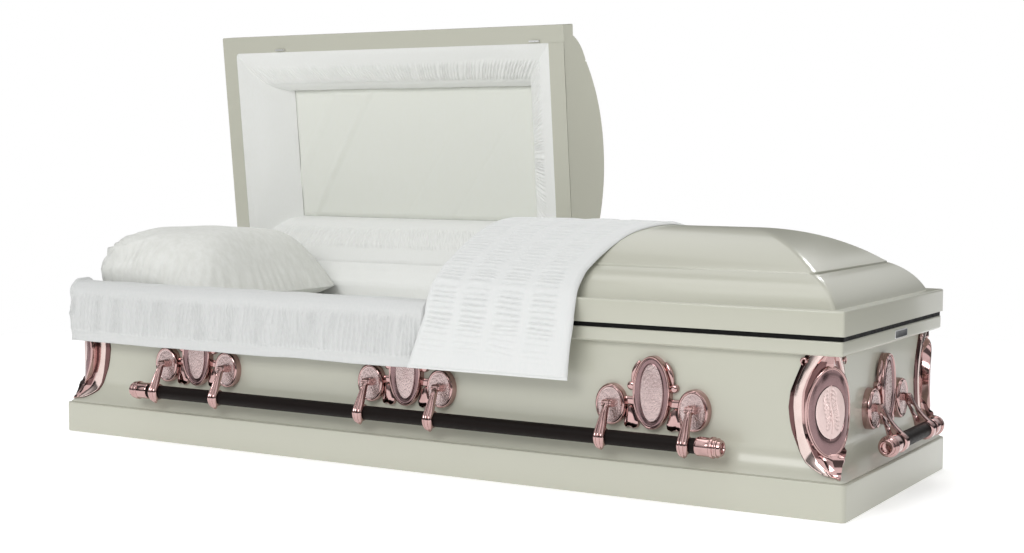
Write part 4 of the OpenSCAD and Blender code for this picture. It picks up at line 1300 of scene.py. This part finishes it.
# How the casting's surface stands off the wall across its three bands: band, share of it, height
ACROSS = [(0, 0.0, 5.5), (0, 0.35, 4.0), (0, 0.6, 3.0), (0, 0.8, 3.4), (0, 0.93, 5.4), (0, 1.0, 7.6),
    (1, 0.07, 7.9), (1, 0.5, 7.2), (1, 0.92, 6.2), (1, 1.0, 5.6),
    (2, 0.15, 4.4), (2, 0.6, 3.4), (2, 0.92, 2.2), (2, 1.0, 0.2)]
MEDAL = {"z": 217, "half": 50, "bow": 20, "tall": 93, "face": 2.0, "oval_half": 31.8, "oval_tall": 53.5}


def table(rows, z):
    """The value of a (height, value) table at z."""
    rows = np.array(rows, float)
    return np.interp(z, rows[:, 0], rows[:, 1])


def engraving(u, v):
    """Depth of a plain leafy sprig cut in an oval face; u and v run -1 to 1."""
    depth = np.zeros_like(u)

    def line(d, w):
        return np.exp(-(d / w) ** 2)
    stem = u + 0.12 * np.sin(v * 3.2)
    depth = np.maximum(depth, line(stem, 0.035) * (np.abs(v) < 0.78))
    for k, z in enumerate(np.linspace(-0.66, 0.62, 9)):
        for side in (-1, 1):
            cx = -0.12 * math.sin(z * 3.2) + side * 0.27
            cz = z + 0.13
            a = math.radians(side * 38)
            du, dv = (u - cx), (v - cz) * 1.35
            p, q = du * math.cos(a) + dv * math.sin(a), -du * math.sin(a) + dv * math.cos(a)
            size = 0.25 - 0.10 * abs(z)
            r = np.sqrt((p / (size * 0.42)) ** 2 + (q / size) ** 2)
            depth = np.maximum(depth, line(r - 1, 0.22) * 0.9)
            depth = np.maximum(depth, line(p, 0.02) * (np.abs(q) < size * 0.8) * 0.6)
    return depth


def shield(s):
    """Sheet of three bands wrapped round the corner, with an underside against the walls."""
    zs = np.r_[84.6, 86, 88, 91, np.linspace(95, RIM_LOW - 0.4, 60)]
    end_in, side_in = cove_insets(zs)
    lx, ly = BASE_X - end_in, BASE_Y - side_in
    e1, e2, e3 = table(EDGE_TABLE, zs), table(BAND_TABLE, zs), table(OUTER_TABLE, zs)
    e2 = np.minimum(e2, e3 - 0.6)
    e1 = np.minimum(e1, e2 - 0.4)
    painted_shade_slot, painted_bright_slot = 3, 4
    for wall in (0, 1):
        cols = []
        narrow = 1 if wall == 0 else 0.15 + 0.85 * smooth((zs - 88) / 70)
        for part, f, h in ACROSS:
            start = (0 * zs, e1, e2)[part] * narrow
            stop = (e1, e2, e3)[part] * narrow
            e = start + (stop - start) * f
            h = np.full_like(zs, h) * smooth((zs - 83) / 8)
            if part == 0:
                swell = np.interp(zs, [86, 100, 120, 140, 158, 178], [0, 12, 23, 26, 20, 0])
                h = h + swell * math.sin(math.pi * f) ** 0.8 * (1 if wall else 0.45)
            if part == 0 and f < 0.9:
                inside = np.sqrt(np.clip(1 - ((zs - MEDAL["z"]) / 92) ** 2, 0, 1))
                h = 0.9 + (h - 0.9) * smooth(1 + (e1 * f - 46 * inside) / 10)
            # the column at the corner itself stands off both walls
            at_corner = h if part == 0 and f == 0 else 0
            if wall == 0:
                cols.append(np.stack([lx - e + at_corner, -ly - h, zs], 1))
            else:
                cols.append(np.stack([lx + h, -ly + e - at_corner, zs], 1))
        p = np.array(cols)
        if wall == 1:
            p = p[::-1]
        under = p.copy()
        depth = 0.8
        if wall == 0:
            under[..., 1] = -ly[None] + depth
            under[0, :, 0] = lx - depth
        else:
            under[..., 0] = lx[None] - depth
            under[-1, :, 1] = -ly + depth
        # The dark copy of the plating is painted shade in the hollow round the medallion's foot and a painted
        # dark reflection on the outer band. The bright copy is a painted reflection on the middle band.
        cells = np.zeros((len(ACROSS) - 1, len(zs) - 1), int)
        shown = (zs[:-1] > 120) & (zs[:-1] < 316)
        first = 1 if wall == 0 else len(ACROSS) - 5
        cells[first:first + 3, shown] = painted_shade_slot
        pale, dark = (slice(5, 9), slice(9, 13)) if wall == 0 else (slice(4, 8), slice(0, 4))
        cells[pale] = painted_bright_slot
        cells[dark] = painted_shade_slot
        s.grid(p, flip=True, slot=cells.ravel().tolist())
        s.grid(under)
        for k in (0, -1):
            s.grid(np.stack([p[k], under[k]], 0))
            s.grid(np.stack([p[:, k], under[:, k]], 0))


def medallion(s):
    """Raised oval across the corner: side wall, rim, satin border and etched face."""
    a = full_turn(96)
    c = np.array([WALL_X, -WALL_Y])
    out = np.array([1, -1]) / math.sqrt(2)
    tangent = np.array([1, 1]) / math.sqrt(2)
    foot_e = 52 * np.cos(a)
    foot = np.where(foot_e[:, None] < 0, np.stack([foot_e, 0 * a], 1), np.stack([0 * a, foot_e], 1))
    foot = c + foot + out * 2.0

    def bowed(half, lift):
        """Points at a medallion's half width, bent back towards the walls at its sides."""
        reach = half * np.cos(a)
        back = MEDAL["bow"] * (np.abs(reach) / MEDAL["half"]) ** 3
        return c + np.outer(reach, tangent) + out * (MEDAL["face"] + lift - back)[:, None]
    rim = bowed(MEDAL["half"], 0)
    rows = []
    for f in (0.0, 0.25, 0.5, 0.75, 0.92, 1.0):
        xy = foot + (rim - foot) * (smooth(f) * 0.35 + 0.65 * f)
        tall = MEDAL["tall"] + 4 * (1 - f ** 1.6)
        rows.append(np.c_[xy, MEDAL["z"] + tall * np.sin(a)])
    for shrink, lift in ((0.8, 1.1), (2.0, 1.4), (3.2, 0.6), (4.4, -1.0), (6.0, -1.2)):
        xy = bowed(MEDAL["half"] - shrink, lift)
        rows.append(np.c_[xy, MEDAL["z"] + (MEDAL["tall"] - shrink) * np.sin(a)])
    side_rows = len(rows)
    ov, ot = MEDAL["oval_half"], MEDAL["oval_tall"]
    for f in (0.25, 0.5, 0.75, 0.93, 1.0):
        half = (MEDAL["half"] - 6.0) * (1 - f) + (ov + 0.8) * f
        tall = (MEDAL["tall"] - 6.0) * (1 - f) + (ot + 0.8) * f
        lift = -1.2 + 1.2 * math.sin(f * math.pi) - (1.0 if f == 1.0 else 0)
        rows.append(np.c_[bowed(half, lift), MEDAL["z"] + tall * np.sin(a)])
    slots = [0] * (side_rows - 1) + [1] * (len(rows) - side_rows)
    s.hoops(rows, slot=slots)
    s.cap(rows[0], flip=True)
    # etched face as a fine polar grid
    rr, aa = np.meshgrid(np.linspace(1, 0.03, 34), full_turn(144))
    u, v = rr * np.cos(aa), rr * np.sin(aa)
    lift = -1.0 + 0.8 * (1 - rr ** 2) - 1.3 * engraving(u, v) * smooth((0.97 - rr) / 0.06)
    back = MEDAL["bow"] * (np.abs(ov * u) / MEDAL["half"]) ** 3
    xy = c[None, None] + (ov * u)[..., None] * tangent + out * (MEDAL["face"] + lift - back)[..., None]
    face = np.concatenate([xy, (MEDAL["z"] + ot * v)[..., None]], 2)
    s.grid(face, around=True, slot=2)
    s.cap(face[:, -1], slot=2)


def scrolls(s):
    """A small scroll at the head of each outer band."""
    for wall in (0, 1):
        curl = []
        for k, t in enumerate(np.linspace(-1.2, 4.2, 22)):
            r = 8.5 * (1 - k / 30)
            e, z = 56 + r * math.cos(t), 318 + r * math.sin(t)
            curl.append((WALL_X - e, -WALL_Y - 6.5, z) if wall == 0 else (WALL_X + 6.5, -WALL_Y + e, z))
        tube(s, curl, [2.6 * (1 - 0.5 * abs(k / 10.5 - 1) ** 3) for k in range(22)])


def corner_piece(name, node, sx, sy):
    """Plated casting of one corner, worked out at the front foot corner and mirrored."""
    s = Shape()
    shield(s)
    medallion(s)
    scrolls(s)

    def placed(q):
        q = q.copy()
        q[:, 0] *= sx
        q[:, 1] *= -sy
        return q
    materials = [ROSE, ROSE_SATIN, ROSE_FROSTED, ROSE_PAINTED_SHADE, ROSE_PAINTED_BRIGHT]
    return s.piece(name, "casket", materials, [node], "rose_plate", turn=placed, sharp=38)


# ---- small plain parts ----
def finish_cad(node, material):
    """Gives a carried-over CAD part its material."""
    obj = frame["nodes"][node]
    obj.data.materials.clear()
    obj.data.materials.append(material)


def rim_plate():
    """Small bare plate on the rim, with eased edges."""
    low, high = corners("rim_plate")
    cy, cz = (low[1] + high[1]) / 2, (low[2] + high[2]) / 2
    hy, hz = (high[1] - low[1]) / 2, (high[2] - low[2]) / 2
    s = Shape()
    rows = []
    for x, d in ((low[0] - 0.5, 0), (high[0] - 0.5, 0), (high[0], 0.6), (high[0], 2.2), (high[0] - 0.3, 2.8)):
        ring = rect_ring(hy - d, hz - d, 3 - d * 0.5, 5)
        rows.append(np.stack([np.full(len(ring), x), cy + ring[:, 0], cz + ring[:, 1]], 1))
    s.hoops(rows)
    s.cap(rows[-1])
    s.cap(rows[0], flip=True)
    return s.piece("end_plate", "casket", [PLATE], ["rim_plate"], "plate", sharp=35)


# ---- camera, floor and light ----
CAMERA = {"place": (2.1364, -3.4948, 0.7243), "yaw": -0.530124, "pitch": -0.0715925, "roll": 0.0057066,
    "lens": 58.2}
FLOOR_R = 3.2
FLOOR_GLOW = 0.42
WHITE = (1, 1, 1, 1)
# Name, place, aim, size and power of each lamp, in metres and watts
LAMPS = [
    ("key", (0.4, -5.2, 3.0), (0.1, 0, 0.35), (3.2, 2.0), 122),
    ("fill", (4.6, -1.2, 3.2), (-0.3, 0.3, 0.7), (1.6, 1.6), 3),
    ("lid", (0.85, 0.75, 1.2), (0.02, 0.45, 0.75), (0.3, 0.3), 3.2),
    ("top", (0.3, -0.2, 5.0), (0.2, 0, 0.3), (4.0, 2.5), 52),
]
# Brightness of the room seen in reflections, from straight below (0) to straight above (1)
ROOM_STOPS = [(0.0, 0.85), (0.49, 0.85), (0.5, 0.12), (0.56, 0.2), (0.66, 0.62), (0.8, 0.9), (1.0, 1.0)]
ROOM_GLOSS = 1.3
ROOM_LIGHT = (0.66, 0.4)
FLAGS = 7.0
FLAG_DIM = 0.12


def camera():
    """The viewpoint, from its angles."""
    yaw, pitch, roll = CAMERA["yaw"], CAMERA["pitch"], CAMERA["roll"]
    forward = Vector((math.sin(yaw) * math.cos(pitch), math.cos(yaw) * math.cos(pitch), math.sin(pitch)))
    level = Vector((math.cos(yaw), -math.sin(yaw), 0))
    upright = level.cross(forward)
    right = level * math.cos(roll) + upright * math.sin(roll)
    up = -level * math.sin(roll) + upright * math.cos(roll)
    data = bpy.data.cameras.new("view")
    data.lens = CAMERA["lens"]
    data.sensor_width = 36
    data.clip_end = 60
    obj = bpy.data.objects.new("view", data)
    facing = Matrix((right, up, -forward)).transposed().to_4x4()
    obj.matrix_world = Matrix.Translation(CAMERA["place"]) @ facing
    bpy.context.scene.collection.objects.link(obj)
    bpy.context.scene.camera = obj


def floor():
    """A plain pale disc that glows a little, so it stays white."""
    me = bpy.data.meshes.new("floor")
    turns = [2 * math.pi * k / 64 for k in range(64)]
    me.from_pydata([(FLOOR_R * math.cos(a), FLOOR_R * math.sin(a), 0) for a in turns], [], [tuple(range(64))])
    m, w, bsdf = new_material("plain_floor", Roughness=0.9, Specular_IOR_Level=0.1,
        Emission_Strength=FLOOR_GLOW)
    bsdf.inputs["Emission Color"].default_value = WHITE
    tone = use(w, TONE, Colour=(0.93, 0.93, 0.93, 1), Amount=0.01, Scale=0.5)
    w.join(tone.outputs[0], bsdf.inputs["Base Color"])
    me.materials.append(m)
    obj = bpy.data.objects.new("floor", me)
    obj.location.z = -0.0005
    bpy.context.scene.collection.objects.link(obj)


def lamp(name, place, aim, size, power):
    """A soft rectangular lamp that the camera does not see."""
    data = bpy.data.lights.new(name, "AREA")
    data.shape = "RECTANGLE"
    data.size, data.size_y = size
    data.energy = power
    obj = bpy.data.objects.new(name, data)
    obj.location = place
    obj.rotation_euler = (Vector(aim) - Vector(place)).to_track_quat("-Z", "Y").to_euler()
    obj.visible_camera = False
    bpy.context.scene.collection.objects.link(obj)


def world():
    """White for the camera, and a graded grey room with dark upright bands for reflections."""
    w = bpy.data.worlds.new("studio")
    bpy.context.scene.world = w
    w.use_nodes = True
    k = Wires(w.node_tree)
    back = w.node_tree.nodes["Background"]
    out = w.node_tree.nodes["World Output"]
    split = k.node("ShaderNodeSeparateXYZ")
    k.join(k.node("ShaderNodeTexCoord").outputs["Generated"], split.inputs[0])
    ramp = k.node("ShaderNodeValToRGB")
    k.join(k.remap(split.outputs["Z"], -1.0, 1.0, 0.0, 1.0), ramp.inputs[0])
    elements = ramp.color_ramp.elements
    elements[0].position, elements[1].position = ROOM_STOPS[0][0], ROOM_STOPS[-1][0]
    for place, _ in ROOM_STOPS[1:-1]:
        elements.new(place)
    for element, (_, value) in zip(elements, ROOM_STOPS):
        element.color = (value,) * 3 + (1,)
    turn = k.math("MULTIPLY", k.math("ARCTAN2", split.outputs["Y"], split.outputs["X"]), FLAGS)
    flags = k.math("SINE", k.math("ADD", turn, k.math("MULTIPLY", split.outputs["Z"], 3.0)))
    dim = k.remap(flags, 0.1, 0.35, 1.0, FLAG_DIM)
    shade = k.node("ShaderNodeVectorMath", operation="SCALE")
    k.join(ramp.outputs[0], shade.inputs[0])
    k.join(dim, shade.inputs["Scale"])
    rays = k.node("ShaderNodeLightPath")
    gloss = k.node("ShaderNodeBackground")
    k.join(shade.outputs[0], gloss.inputs["Color"])
    gloss.inputs["Strength"].default_value = ROOM_GLOSS
    back.inputs["Color"].default_value = WHITE
    k.join(k.remap(split.outputs["X"], -1.0, 1.0, *ROOM_LIGHT), back.inputs["Strength"])
    white = k.node("ShaderNodeBackground")
    white.inputs["Color"].default_value = WHITE
    white.inputs["Strength"].default_value = 1.0

    def mix(factor, a, b):
        n = k.node("ShaderNodeMixShader")
        for socket, source in zip(n.inputs, (factor, a, b)):
            k.join(source, socket)
        return n.outputs[0]
    lit = mix(rays.outputs["Is Glossy Ray"], back.outputs[0], gloss.outputs[0])
    k.join(mix(rays.outputs["Is Camera Ray"], lit, white.outputs[0]), out.inputs["Surface"])


def studio():
    """World, lamps and plain colour handling."""
    world()
    for values in LAMPS:
        lamp(*values)
    view = bpy.context.scene.view_settings
    view.view_transform = "Standard"
    view.look = "None"


# ---- put the casket together ----
camera()
floor()
studio()
base_moulding()
rim_band()
head_lid()
foot_lid()
lid_cloth("head_lid_cloth", "lid_head_lining", "head_lid", -LID_X, HEAD_CUT, 5, -1, opened)
lid_cloth("foot_lid_cloth", "lid_foot_lining", "foot_lid", FOOT_CUT, LID_X, 15, 1, step=5.2)
body_cloth()
mattress()
apron()
pillow()
skirt()
throw()
handles()
for end, sx in (("foot", 1), ("head", -1)):
    for face, sy in (("front", -1), ("back", 1)):
        corner_piece(f"corner_{face}_{end}_cast", f"corner_{face}_{end}", sx, sy)
rim_plate()
finish_cad("body_shell", PAINT)
finish_cad("gasket", RUBBER)
for cad in ("lid_head_catches", "hinge_plates", "lid_head_hinges", "lid_foot_hinges", "bed_frame"):
    finish_cad(cad, STEEL)
